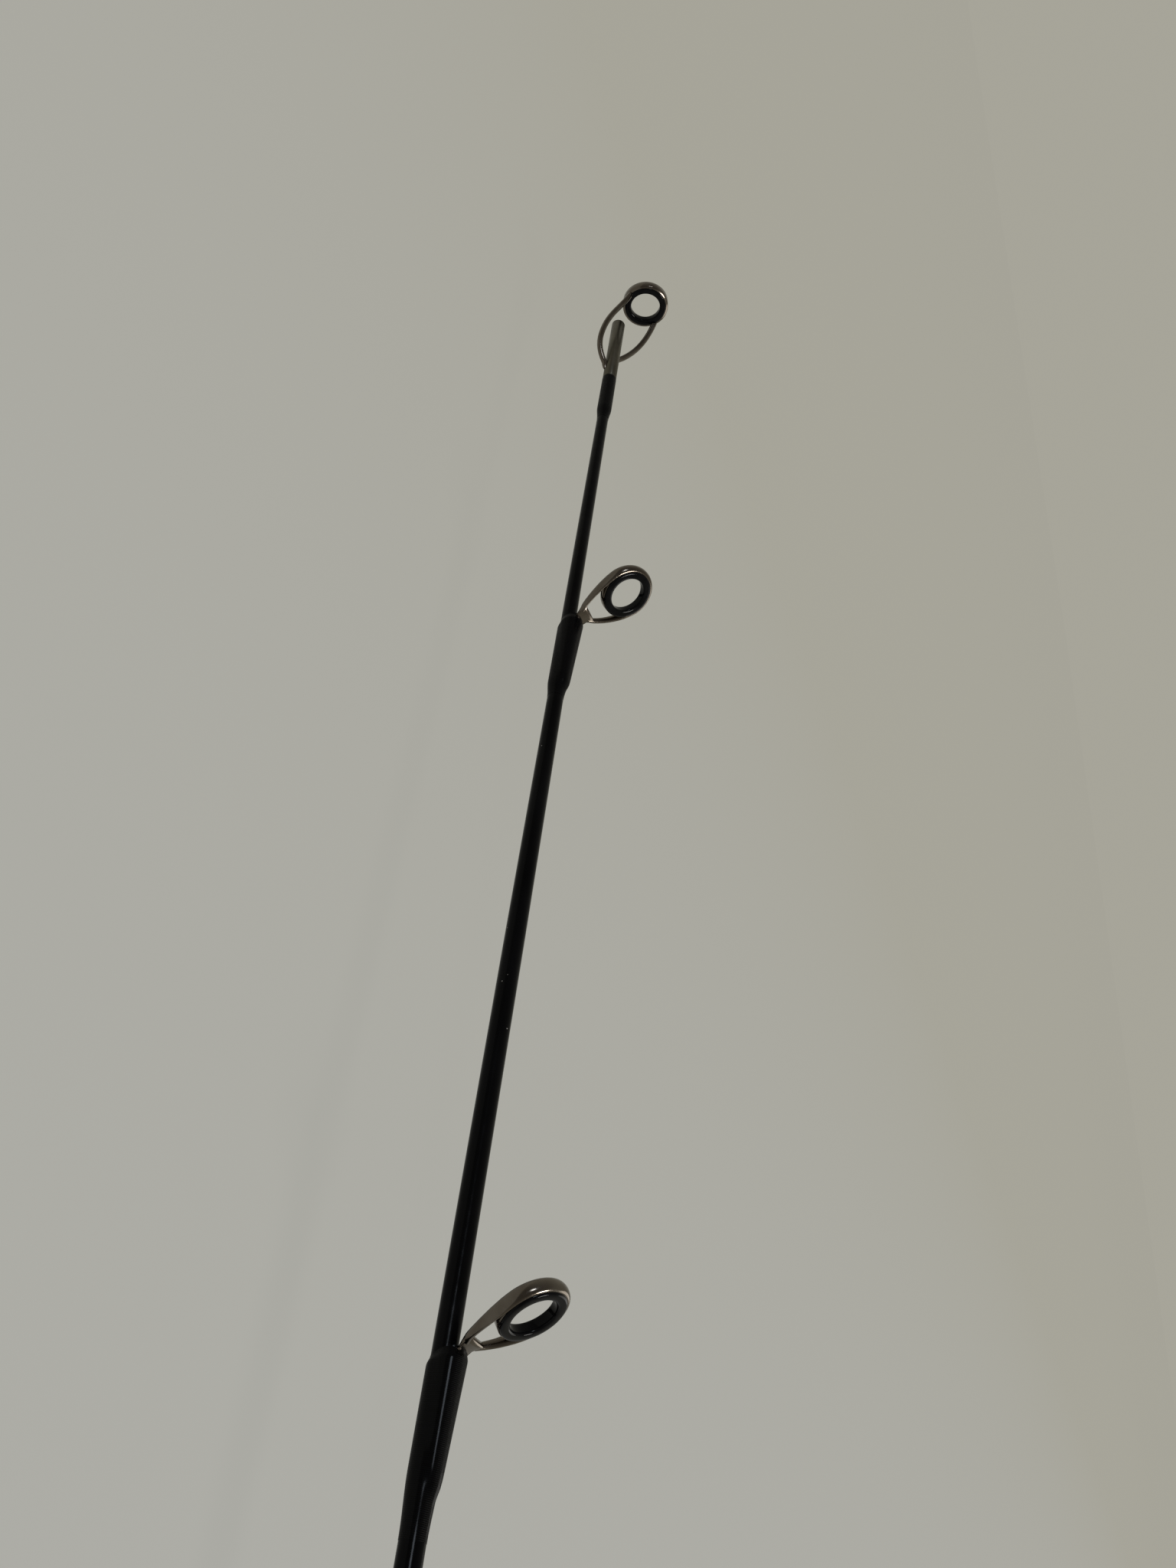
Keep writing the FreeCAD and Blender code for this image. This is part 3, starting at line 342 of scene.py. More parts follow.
def makeFrameMetal(dark=(0.11, 0.092, 0.074), middle=(0.15, 0.13, 0.108), light=(0.185, 0.165, 0.142),
                   rough=(0.13, 0.2), clouds=420, brushed=5200, depth=0.0004):
    look = Finish("frameMetal", Metallic=1)
    fine = look.noise(brushed, place=look.stretched(y=0.25))
    tone = look.ramp(look.noise(clouds, 4), (0.3, dark), (0.55, middle), (0.8, light))
    return look.done(tone, look.range(fine, *rough), fine, depth)


def makeTubeMetal(cloudTones=((0.3, (0.085, 0.078, 0.06)), (0.7, (0.14, 0.13, 0.1))), clouds=500,
                  drawnTones=((0.3, (0.07, 0.065, 0.05)), (0.7, (0.18, 0.165, 0.13))), drawnShare=0.4,
                  lines=2600, rough=(0.28, 0.46), depth=0.004):
    look = Finish("tubeMetal", Metallic=1)
    drawn = look.noise(lines, 4, look.stretched(x=0.06))
    cloud = look.ramp(look.noise(clouds), *cloudTones)
    tone = look.blend(drawnShare, cloud, look.ramp(drawn, *drawnTones))
    return look.done(tone, look.range(drawn, *rough), drawn, depth)


def makeRingCeramic(dark=(0.0018, 0.0018, 0.002), light=(0.0045, 0.0045, 0.005), rough=(0.05, 0.13),
                    hazes=900, grain=3800, depth=0.0008):
    look = Finish("ringCeramic", IOR=1.45, Specular_IOR_Level=0.1)
    haze = look.noise(hazes)
    return look.done(look.ramp(haze, (0.3, dark), (0.8, light)), look.range(haze, *rough),
                     look.noise(grain, 2), depth)


def makeTrimMetal(dark=(0.22, 0.22, 0.225), light=(0.38, 0.38, 0.385), rough=(0.24, 0.42),
                  lines=5200, clouds=160, depth=0.006):
    look = Finish("trimMetal", Metallic=1)
    turned = look.noise(lines, 4, look.stretched(1, 0.03, 0.03))
    mixed = look.sums("MULTIPLY_ADD", turned, 0.5, look.times(look.noise(clouds), 0.5))
    return look.done(look.ramp(mixed, (0.3, dark), (0.7, light)), look.range(turned, *rough), turned, depth)


cork = {"ring": 12.7, "seam": 0.16,  # millimetres
        "tones": ((0.3, (0.42, 0.235, 0.105)), (0.5, (0.6, 0.37, 0.185)), (0.72, (0.7, 0.47, 0.26))),
        "darkRing": (0.46, 0.27, 0.13), "pore": (0.115, 0.052, 0.022),
        "glue": (0.17, 0.09, 0.045), "soil": (0.23, 0.145, 0.085)}


def makeCork(grains=420, streaks=230, pits=520, wanders=800, soils=34, fine=3200, fineDepth=0.035,
             poreDepth=0.16, rough=(0.68, 0.88), darkShare=0.3, poreShare=0.8, glueShare=0.55, soilShare=0.35):
    look = Finish("cork", Roughness=0.8, IOR=1.4)
    turns = look.times(look.along(), 1 / (cork["ring"] * mm))
    # each cork ring is cut from another place in the bark
    chance = look.add("TexWhiteNoise", {"W": look.sums("FLOOR", turns)}, noise_dimensions="1D").outputs
    place = look.add("VectorMath", {0: chance["Color"], 1: (0.5, 0.5, 0.5), 2: look.place},
                     operation="MULTIPLY_ADD").outputs[0]
    grain = look.noise(grains, 8, place, 0.65)
    darkRing = look.range(chance["Value"], 0, darkShare, 0, 1)
    body = look.blend(darkRing, look.ramp(grain, *cork["tones"]), cork["darkRing"])
    # pores: dark streaks and pits
    streak = look.range(look.noise(streaks, 4, look.stretched(x=3.4, place=place), 0.6), 0, 1, 0.6, 0.68)
    wander = look.noise(wanders, place=place)
    depth = look.sums("MULTIPLY_ADD", wander, 0.5, look.cells(pits, place).outputs["Distance"])
    pore = look.sums("MAXIMUM", streak, look.range(depth, 1, 0, 0.3, 0.42))
    body = look.blend(look.times(pore, poreShare), body, cork["pore"])
    # glue line between two cork rings, then soil from hands
    across = look.sums("PINGPONG", look.sums("FRACT", turns), 0.5)
    line = look.sums("LESS_THAN", across, cork["seam"] / cork["ring"] / 2)
    body = look.blend(look.times(line, glueShare), body, cork["glue"])
    soil = look.range(look.noise(soils, 4), 0, soilShare, 0.42, 0.75)
    sunk = look.sums("MAXIMUM", pore, look.times(line, 0.5))
    under = look.bump(look.sums("SUBTRACT", 1, sunk), poreDepth)
    return look.done(look.blend(soil, body, cork["soil"]), look.range(grain, *rough),
                     look.noise(fine, 4, place), fineDepth, under)


def makeMouldedPlastic(name, base, rough, grain, clouds=70, rubs=24, rubRough=(-0.07, 0.05), depth=0.012):
    look = Finish(name, IOR=1.49)
    eroded = look.noise(grain)
    rub = look.range(look.noise(rubs, place=look.stretched(1, 2, 2, (0.3, 0.1, 0.2))), *rubRough, 0.35, 0.65)
    return look.done(look.shades(look.noise(clouds, 4), base, 0.75, 1.35),
                     look.sums("ADD", rub, look.range(eroded, rough - 0.05, rough + 0.07)), eroded, depth)


def makeRubber(name, base, clouds=55, grains=2600, rough=(0.62, 0.85), blooms=130, depth=0.03,
               bloomTone=(0.12, 0.115, 0.11), bloomShare=0.16):
    look = Finish(name, IOR=1.45)
    grain = look.noise(grains, 4)
    bloom = look.range(look.noise(blooms, 5), 0, bloomShare, 0.5, 0.8)
    tone = look.blend(bloom, look.shades(look.noise(clouds, 4), base, 0.7, 1.3), bloomTone)
    return look.done(tone, look.range(grain, *rough), grain, depth)


finishes = {
    "blank_lacquer": makeBlankLacquer(),
    "thread_wrap": makeThreadWrap(),
    "frame_metal": makeFrameMetal(),
    "tube_metal": makeTubeMetal(),
    "ring_ceramic": makeRingCeramic(),
    "trim_metal": makeTrimMetal(),
    "cork": makeCork(),
    "rubber": makeRubber("buttRubber", (0.018, 0.018, 0.018)),
    "check_rubber": makeRubber("checkRubber", (0.014, 0.014, 0.015)),
    "seat_plastic": makeMouldedPlastic("seatPlastic", (0.0105, 0.0105, 0.011), 0.36, 5200),
    "hood_plastic": makeMouldedPlastic("hoodPlastic", (0.014, 0.014, 0.015), 0.3, 6800),
    "arbor_foam": makeMouldedPlastic("arborFoam", (0.3, 0.28, 0.24), 0.75, 2400),
}
for kept in ("seat_arbor_rear", "seat_arbor_front"):
    nodes[kept].data.materials.clear()
    nodes[kept].data.materials.append(finishes["arbor_foam"])
print("finishes ready:", len(finishes))

stick = {
    "stations": [(9, 2.9), (276, 2.2), (539.27, 1.13), (597.27, 1.07), (631.27, 0.96), (705.27, 0.72)],
    "edge": 0.12, "longEdge": 30,
    "fit": 0.04,  # left round the stick by what is slid on to it
}


def stickAt(place):
    return valueAt(stick["stations"], place)


def boreAt(place):
    return stickAt(place) + stick["fit"]


def slidOn(rear, front, line):  # a piece's outer line, closed along the stick
    return [(rear, boreAt(rear), 0), *line, (front, boreAt(front), 0)]


def makeStick():
    first, last = stick["stations"][0][0], stick["stations"][-1][0]
    edge = stick["edge"]
    profile = [(first, 0, 0), (first, 0, stickAt(first) - edge), (first + edge, 0, stickAt(first))]
    profile += [(place, 0, radius) for place, radius in stick["stations"][1:-1]]
    profile += [(last - edge, 0, stickAt(last)), (last, 0, stickAt(last) - edge), (last, 0, 0)]
    bm = bmesh.new()
    spinProfile(bm, profile, rodAxis, steps=56, closed=False)
    runs = [edge for edge in bm.edges if edge.calc_length() > stick["longEdge"]]
    bmesh.ops.subdivide_edges(bm, edges=runs, cuts=7)
    addPiece("rodBlank", bm, "blank_lacquer", ["blank"])


tube = {"radius": 0.98, "back": 3.2, "length": 15.6, "bore": 0.75, "boreDepth": 3, "edge": 0.05,
        "dome": 0.35, "domeLine": ((0.35, 0.86), (0, 0.52))}


def makeTipTube():
    front = tipMiddle.x - tube["back"]
    rear = front - tube["length"]
    radius, bore, edge, dome = tube["radius"], tube["bore"], tube["edge"], tube["dome"]
    corners = [(rear + tube["boreDepth"], 0, 0), (rear + tube["boreDepth"], bore, 0), (rear, bore, 0),
               (rear, radius - edge, 0), (rear + edge, radius, 0), (front - dome, radius, 0)]
    corners += [(front - dome * back, radius * share, 0) for back, share in tube["domeLine"]] + [(front, 0, 0)]
    addTurned("tipTube", "tube_metal", "tip_tube", corners, steps=40, closed=False, sharpAngle=60)


wrap = {
    "build": 0.24, "thin": 0.02,  # thread and varnish over what they cover, and at the ends
    "corner": 0.88,  # how round the thread runs over a foot, as a share of its half width
    "fill": 0.45,  # varnish beside a guide's foot
    "shoulder": 0.8, "runOut": 2.4,  # lengths over which the front rises and the tail thins
    "slant": 0.9,  # the front edge reaches further forward over the foot
    "crowd": 0.12,  # rows crowd towards both ends
    "under": 2.6,  # beyond this angle from the foot the thread lies on the stick
    "tries": 24, "tryStep": 2.5,  # tangents tried on each side, and degrees between them
    "setBack": 1.15,  # from a guide's heel to its wrap's front
    "ease": 0.6, "halfEase": (-1, 1.5), "tailEase": 1.5,  # how gently the thread climbs on to a foot
    "overHeel": 1.15,
    "tipEnds": (-26.4, -16.4), "tipHalf": 0.5,  # the tip wrap: from the tip ring, and half width
}


def threadOutline(angle, low, high, half):
    # thread drawn tight over the stick and the rounded shoulders of what lies on it
    angle = abs(angle)
    if high <= low or angle > wrap["under"]:
        return low
    corner = half * wrap["corner"]
    nearest = inf
    for turn in range(-wrap["tries"], wrap["tries"] + 1):
        off = radians(turn * wrap["tryStep"])
        way = angle + off
        pull = max(low, corner + (half - corner) * abs(sin(way)) + (high - corner) * cos(way))
        nearest = min(nearest, pull / cos(off))
    return nearest


def makeSleeve(name, node, span, tops, halves, under=False, slant=0, tail=wrap["runOut"]):
    # tops and halves: height over the stick and half width of what the thread covers, by place
    rear = span[0]
    length = span[1] - rear
    bm = bmesh.new()
    bmesh.ops.create_cone(bm, cap_ends=True, segments=72, radius1=1, radius2=1, depth=1)
    runs = [edge for edge in bm.edges if abs(edge.verts[0].co.z - edge.verts[1].co.z) > 0.5]
    bmesh.ops.subdivide_edges(bm, edges=runs, cuts=61)
    for vert in bm.verts:
        share = vert.co.z + 0.5
        angle = atan2(vert.co.y, vert.co.x)
        crowd = share - wrap["crowd"] * sin(tau * share)
        reach = length + slant * (0.5 + 0.5 * cos(angle)) * share
        place = rear + crowd * reach
        rise = eased((1 - crowd) * reach / wrap["shoulder"])
        fall = eased(crowd * reach / tail)
        build = between(wrap["thin"], wrap["build"], min(rise, fall))
        low = stickAt(place) + build
        high = stickAt(place) + valueAt(tops, place) + build
        radius = threadOutline(angle, low, high, valueAt(halves, place) + build)
        vert.co = Vector((place, radius * sin(angle), radius * cos(angle) * (-1 if under else 1)))
    addPiece(name, bm, "thread_wrap", [node], sharpAngle=50)


guideFacts = ("bore", "wall", "depth", "foot", "footLength", "leg", "tail")
guides = {number: dict(zip(guideFacts, facts)) for number, facts in {
    1: (4.3, 1, 1.25, 1.8, 10.5, 0.62, 1.6),
    2: (4.3, 1, 1.25, 1.8, 10.5, 0.62, 3.4),
    3: (5.9, 1.2, 1.45, 2.2, 12, 0.72, 2.4),
    4: (9.3, 1.5, 1.8, 2.8, 14, 0.88, 2.4),
}.items()}  # each a ceramic ring in a one-piece metal frame
guideFrame = {
    "collar": 0.42, "lean": 33, "tipLean": 5,
    "smallCollar": 3.57,  # the collar radius for which the sizes below are given
    "bandWidth": 0.9, "bandFade": 2.4,  # round the ceramic, mostly behind its edge
    # half the frame's outline: shares of the drop to the stick and of the collar's radius
    "outline": [(0.94, 0.3), (0.85, 0.455), (0.765, 0.555), (0.68, 0.64), (0.58, 0.725), (0.475, 0.8),
                (0.38, 0.86), (0.285, 0.91), (0.19, 0.952), (0.09, 0.985)],
    "ringTurn": (-2, 184, 36),  # first angle, sweep and steps of the band round the ring
    # the frame's middle and half depth along the axis, by share of the drop
    "middle": [(0, 0.27), (0.3, 0.28), (0.5, 0.35), (0.68, 0.47), (0.85, 0.63), (1, 0.76)],
    "halfDepth": [(0, 0.69), (0.2, 0.67), (0.45, 0.57), (0.68, 0.45), (0.85, 0.38), (1, 0.36)],
    # the plate under the window: shares of the drop and of the collar's radius
    "plate": ((0.8, 0.4), (0.82, 0.44), (0.88, 0.4), (0.95, 0.3)),
    "plateThick": 0.37, "plateEdge": (0.97, 0.6, 1, 1),
    "bend": 0.4, "heelBack": 0.75, "heelForward": 0.75,
    "footThick": 0.75, "footTip": 0.2, "footTipWidth": 0.8, "footLast": 0.6,
    "footShares": (0, 0.02, 0.2, 0.4, 0.6, 0.8, 0.97, 1), "gap": 0.02,
}


def ringNode(number):  # ring 0 is at the tip
    return f"guide_{number}_ring" if number else "tip_ring"


def ringSpot(number):
    lean = radians(guideFrame["lean" if number else "tipLean"])
    down = Vector((-sin(lean), 0, -cos(lean)))
    axis = Vector((cos(lean), 0, -sin(lean)))
    return placed(middleOf(ringNode(number)), down, axis.cross(down), axis)


def collarRadius(facts):
    return facts["bore"] / 2 + facts["wall"] + guideFrame["collar"]


def footFacts(number):  # drop from ring to stick, and where the foot ends
    spot = ringSpot(number).translation
    lean = radians(guideFrame["lean"])
    drop = spot.z - stickAt(spot.x - spot.z - guides[number]["footLength"]) - guideFrame["gap"]
    bend = (drop * sin(lean) - guideFrame["bend"]) / cos(lean)
    return drop, spot.x - bend - guides[number]["footLength"]


ceramic = {"seatFit": 0.03, "square": 0.46}


def makeCeramic(name, number, facts):
    inside, wall, half = facts["bore"] / 2, facts["wall"] - ceramic["seatFit"], facts["depth"] / 2
    bm = bmesh.new()
    ring = bmesh.ops.create_circle(bm, segments=28, radius=1)["verts"]
    for vert in ring:
        out, along = [squared(part, ceramic["square"]) for part in vert.co.xy]
        vert.co = Vector((inside + wall / 2 + out * wall / 2, 0, along * half))
    spinEdges(bm, ring + list(bm.edges), upwards, steps=80)
    bmesh.ops.transform(bm, matrix=ringSpot(number), verts=bm.verts)
    addPiece(name, bm, "ring_ceramic", [ringNode(number)])


collars = {
    "skinBack": -0.3,
    "frontLine": ((0, 0.14), (0.05, 0.04), (0.14, 0)),  # in from the skin, back from the front
    "lipLine": ((0.08, 0.03), (0, 0.08)),  # out from the lip's edge, back from the front
    "lipFit": 0.02, "lipEdge": (0.03, 0.02), "seatIn": 0.04,
    "guide": {"skin": 0.4, "least": 0.03, "front": 0.76, "lip": 0.1,
              "rear": ((-0.04, -0.32), (0, -0.34), (0.01, -0.32))},  # out from the seat, along the axis
    "tip": {"outside": 0.1, "front": 0.98, "lip": 0.3, "rear": ((-0.04, -0.42), (0.02, -0.49), (0.26, -0.4))},
}


def addCollar(bm, outer, facts, skin, kind):  # holds the ceramic behind its lip
    scale = outer / guideFrame["smallCollar"]
    seat = outer - guideFrame["collar"]
    front, lipIn = kind["front"] * scale, seat - kind["lip"]
    lip = facts["depth"] / 2 + collars["lipFit"]
    points = [(seat + out, 0, along * scale) for out, along in kind["rear"]]
    points += [(skin, 0, collars["skinBack"] * scale)]
    points += [(skin - inwards, 0, front - back) for inwards, back in collars["frontLine"]]
    points += [(lipIn + out, 0, front - back) for out, back in collars["lipLine"]]
    soft, softDeep = collars["lipEdge"]
    points += [(lipIn, 0, lip + softDeep), (lipIn + soft, 0, lip), (seat - collars["seatIn"], 0, lip)]
    spinProfile(bm, points, upwards, steps=80)


def makeGuideFrame(number):
    facts, sizes = guides[number], guideFrame
    spot = ringSpot(number)
    outer = collarRadius(facts)
    scale = outer / sizes["smallCollar"]
    drop, footEnd = footFacts(number)
    leg = facts["leg"]
    # path of the band round the ring and down both legs
    right = [Vector((share * drop, width * outer, 0)) for share, width in sizes["outline"]]
    first, sweep, steps = sizes["ringTurn"]
    turns = [radians(first + sweep * step / steps) for step in range(steps + 1)]
    top = [Vector((-outer * sin(turn), outer * cos(turn), 0)) for turn in turns]
    rim = right + top + [Vector((point.x, -point.y, 0)) for point in reversed(right)]
    places = []
    for index, point in enumerate(rim):
        outward = aheadAt(rim, index).cross(upwards)
        outward = outward if outward.dot(point) > 0 else -outward
        share = max(point.x, 0) / drop
        fade = 1 - eased(share * sizes["bandFade"])
        width = between(leg, sizes["bandWidth"] * scale, fade) / 2
        deep = valueAt(sizes["halfDepth"], share) * scale
        centre = point - outward * width + Vector((0, 0, valueAt(sizes["middle"], share) * scale))
        places.append(section(centre, outward, upwards, width, deep))
    bm = bmesh.new()
    sweepSections(bm, places, segments=32, square=0.98)
    kind = collars["guide"]
    skin = max(outer - kind["skin"] * scale, outer - sizes["collar"] + kind["least"])
    addCollar(bm, outer, facts, skin, kind)
    # plate under the window, bend and foot
    strip = []
    for share, width in sizes["plate"]:
        centre = Vector((share * drop, 0, valueAt(sizes["middle"], share) * scale))
        wide = max(width * outer, facts["foot"] / 2)
        strip.append(section(centre, sideways, upwards, wide, sizes["plateThick"] * scale ** 0.5))
    strip[0] = strip[0] @ Matrix.Diagonal(sizes["plateEdge"])
    toLocal = spot.inverted()
    footFront = (spot @ centre).x - sizes["heelBack"]
    for share in sizes["footShares"]:
        at = between(footFront, footEnd, share)
        tall = between(sizes["footThick"], sizes["footTip"], share) / 2
        wide = between(facts["foot"], sizes["footTipWidth"], share) / 2
        if share == 1:
            wide, tall = wide * sizes["footLast"], tall * sizes["footLast"]
        centre = Vector((at, 0, stickAt(at) + tall))
        strip.append(toLocal @ section(centre, sideways, upwards, wide, tall))
    sweepSections(bm, strip, segments=20, square=0.75)
    bmesh.ops.transform(bm, matrix=spot, verts=bm.verts)
    addPiece(f"guideFrame{number}", bm, "frame_metal", [f"guide_{number}_frame"], sharpAngle=55)


def makeGuideWrap(number):
    facts = guides[number]
    drop, footEnd = footFacts(number)
    lean = radians(guideFrame["lean"])
    forward = guideFrame["heelForward"] * collarRadius(facts) / guideFrame["smallCollar"] * cos(lean)
    heel = ringSpot(number).translation.x - guideFrame["plate"][-1][0] * drop * sin(lean) + forward
    thick, ease, half = guideFrame["footThick"], wrap["ease"], facts["foot"] / 2
    tops = [(footEnd - ease, 0), (footEnd + ease, guideFrame["footTip"]), (heel - ease, thick),
            (heel, thick * wrap["overHeel"])]
    behind, ahead = wrap["halfEase"]
    halves = [(footEnd + behind, guideFrame["footTipWidth"] / 2), (footEnd + ahead, half),
              (heel - ease, half + wrap["fill"])]
    makeSleeve(f"guideWrap{number}", f"guide_{number}_wrap", (footEnd - facts["tail"], heel - wrap["setBack"]),
               tops, halves, slant=wrap["slant"], tail=facts["tail"] * wrap["tailEase"])


tipTop = {
    "wire": 0.82, "collar": 3.4, "inCollar": 0.12,
    "drop": 0.75, "sink": 0.2,  # the braces' ends: under the tube's middle, and into its skin
    "steps": 24, "startThin": 0.45,
    "joint": (-1.3, -0.25, 0.1),  # the soldered end, then shares of it and of the wire
    "jointLine": ((0.4, 0.92), (0.75, 0.72), (1, 0.35)),
    # by side: degrees under the collar's side, end behind the ring, and how the brace bows
    1: {"turn": 24, "landing": 13.9, "bow": (0, 1.55, -1.3), "fullness": 2.3, "late": 1.6},
    -1: {"turn": -12.6, "landing": 11.2, "bow": (0, -1.35, 0.3), "fullness": 2, "late": 1},
}


def bracePath(spot, side):  # the brace's middle line, and shares of the wire's thickness along it
    brace = tipTop[side]
    wire, drop, steps = tipTop["wire"] / 2, tipTop["drop"], tipTop["steps"]
    reach = tube["radius"] + wire - tipTop["sink"]
    turn = radians(brace["turn"])
    out = tipTop["collar"] - wire
    start = spot @ Vector((out * sin(turn), side * out * cos(turn), tipTop["inCollar"]))
    end = Vector((spot.translation.x - brace["landing"], side * sqrt(reach ** 2 - drop ** 2), -drop))
    chord = (end - start).normalized()
    swing = Vector(brace["bow"])
    swing -= chord * swing.dot(chord)
    path = []
    for share in (step / steps for step in range(steps + 1)):
        fuller = 1 - abs(2 * share ** brace["late"] - 1) ** brace["fullness"]
        path.append(start.lerp(end, share) + swing * fuller)
    back, inwards, up = tipTop["joint"]
    path += [end + Vector((back * part, side * inwards * part, up * part)) for part, _ in tipTop["jointLine"]]
    return path, [tipTop["startThin"]] + [1] * steps + [thin for _, thin in tipTop["jointLine"]]


def makeTipFrame():
    spot = ringSpot(0)
    outer, wire = tipTop["collar"], tipTop["wire"] / 2
    bm = bmesh.new()
    addCollar(bm, outer + collars["tip"]["outside"], guides[1], outer, collars["tip"])
    bmesh.ops.transform(bm, matrix=spot, verts=bm.verts)
    for side in (1, -1):
        path, thinness = bracePath(spot, side)
        places = []
        for index, point in enumerate(path):
            ahead = aheadAt(path, index)
            across = ahead.cross(sideways).normalized()
            thin = wire * thinness[index]
            places.append(section(point, across.cross(ahead).normalized(), across, thin, thin))
        sweepSections(bm, places)
    addPiece("tipFrame", bm, "frame_metal", ["tip_frame"], sharpAngle=55)


tipMiddle = middleOf("tip_ring")
makeStick()
makeTipTube()
tipWrapSpan = [tipMiddle.x + end for end in wrap["tipEnds"]]
makeSleeve("tipWrap", "tip_wrap", tipWrapSpan, [(0, 0)], [(0, wrap["tipHalf"])])
makeTipFrame()
makeCeramic("tipCeramic", 0, guides[1])
for number in guides:
    makeGuideFrame(number)
    makeCeramic(f"guideCeramic{number}", number, guides[number])
    makeGuideWrap(number)
print("stick, wraps, guides and tip top made")


def grooveCorners(middle, radius, deep, half, floorHalf, soft):
    return [(middle - half, radius, soft), (middle - floorHalf, radius - deep, soft),
            (middle + floorHalf, radius - deep, soft), (middle + half, radius, soft)]


cap = {"length": 18, "radius": 13.9, "round": 3.2, "dish": 0.7, "dishRadius": 8.6, "dishSlope": 0.8,
       "dishSoft": 0.3, "floor": 4, "inside": 11.6, "lipRadius": 13.62, "lipSoft": 0.35,
       "grooves": (6.6, 8.8, 11),
       "groove": (0.4, 0.45, 0.2, 0.12)}  # depth, half width at top and floor, soft


def makeButtCap():
    radius, dish, soft, inside = cap["radius"], cap["dishRadius"], cap["dishSoft"], cap["inside"]
    corners = [(cap["dish"], 0, 0), (cap["dish"], dish - cap["dishSlope"], soft), (0, dish, soft),
               (0, radius, cap["round"])]
    for place in cap["grooves"]:
        corners += grooveCorners(place, radius, *cap["groove"])
    corners += [(cap["length"], cap["lipRadius"], cap["lipSoft"]), (cap["length"], inside, 0),
                (cap["floor"], inside, 0), (cap["floor"], 0, 0)]
    addTurned("buttCap", "rubber", "butt_cap", corners, closed=False)


grips = {
    "rear": [(18.04, 13.55, 0.8), (70, 12.4, -0.45), (110, 10.8, 0)],  # place, radius, bow up to the next
    "fore": [(216, 10.8, 1.87), (276, 6.3, 0)],
    "step": 3, "soft": 0.3, "spigot": 11.56,
}


def gripLine(stations):
    points = []
    for (start, low, bow), (end, high, _) in zip(stations, stations[1:]):
        count = round((end - start) / grips["step"])
        for share in (step / count for step in range(count)):
            radius = between(low, high, share) + 4 * bow * share * (1 - share)
            points.append((between(start, end, share), radius, 0))
    points.append((*stations[-1][:2], grips["soft"]))
    points[0] = (*points[0][:2], grips["soft"])
    return points


def makeGrips():
    line, spigot, floor, butt = gripLine(grips["rear"]), grips["spigot"], cap["floor"], stick["stations"][0][0]
    front = line[-1][0]
    corners = [(floor, 0, 0), (floor, spigot, 0), (line[0][0], spigot, 0)] + line
    corners += [(front, boreAt(front), 0), (butt, boreAt(butt), 0), (butt, 0, 0)]
    addTurned("rearGrip", "cork", "rear_grip", corners, closed=False, softSteps=2)
    line = gripLine(grips["fore"])
    addTurned("foreGrip", "cork", "foregrip", slidOn(line[0][0], line[-1][0], line), softSteps=2)


trim = {"radius": 11, "edge": 0.4, "groove": (0.22, 0.25, 0.15, 0.08)}  # as the butt cap's grooves


def makeTrimRing(name, node):
    rear, front = spanOf(node)
    radius, edge = trim["radius"], trim["edge"]
    groove = grooveCorners((rear + front) / 2, radius, *trim["groove"])
    line = [(rear, radius, edge), *groove, (front, radius, edge)]
    addTurned(name, "trim_metal", node, slidOn(rear, front, line))


check = {"line": ((0, 6.28, 0.25), (1.2, 6.28, 0.3), (1.35, 5.75, 0.1), (3, 4, 0.4)),
         "neck": 0.84, "neckSoft": 0.2}


def makeWindingCheck():
    rear, front = spanOf("winding_check")
    line = [(rear + place, radius, soft) for place, radius, soft in check["line"]]
    line.append((front, stickAt(front) + check["neck"], check["neckSoft"]))
    addTurned("windingCheck", "check_rubber", "winding_check", slidOn(rear, front, line), steps=72)


seat = {
    "radius": 8.5, "bore": 5.5, "flat": 6.6, "bed": 7, "bedMargin": 0.5, "skin": 0.02,
    "pitch": 2, "threadDepth": 0.6, "threadStart": 0.8, "fadeIn": 1.2, "threadEnd": 31.5, "fadeOut": 1.6,
    "rows": (0.6, 0.2, 157),  # the thread's first row, step and count
    "rearEdge": 0.35, "frontEdge": 0.2, "edgeDrop": 0.1, "bedStep": (0.02, 0.12, 0.15),
    "flatReach": 1.4,
}


def threadRadius(place, angle, rear):
    turn = (place - rear) / seat["pitch"] - angle / tau
    wave = 0.5 + 0.5 * cos(tau * turn)
    cut = eased(eased(wave))
    fadeIn = eased((place - rear - seat["threadStart"]) / seat["fadeIn"])
    fadeOut = eased((rear + seat["threadEnd"] - place) / seat["fadeOut"])
    return seat["radius"] - seat["skin"] - seat["threadDepth"] * cut * (fadeIn * fadeOut)


def flatted(radius, angle, height):
    return min(radius, height / cos(angle)) if abs(angle) < seat["flatReach"] else radius


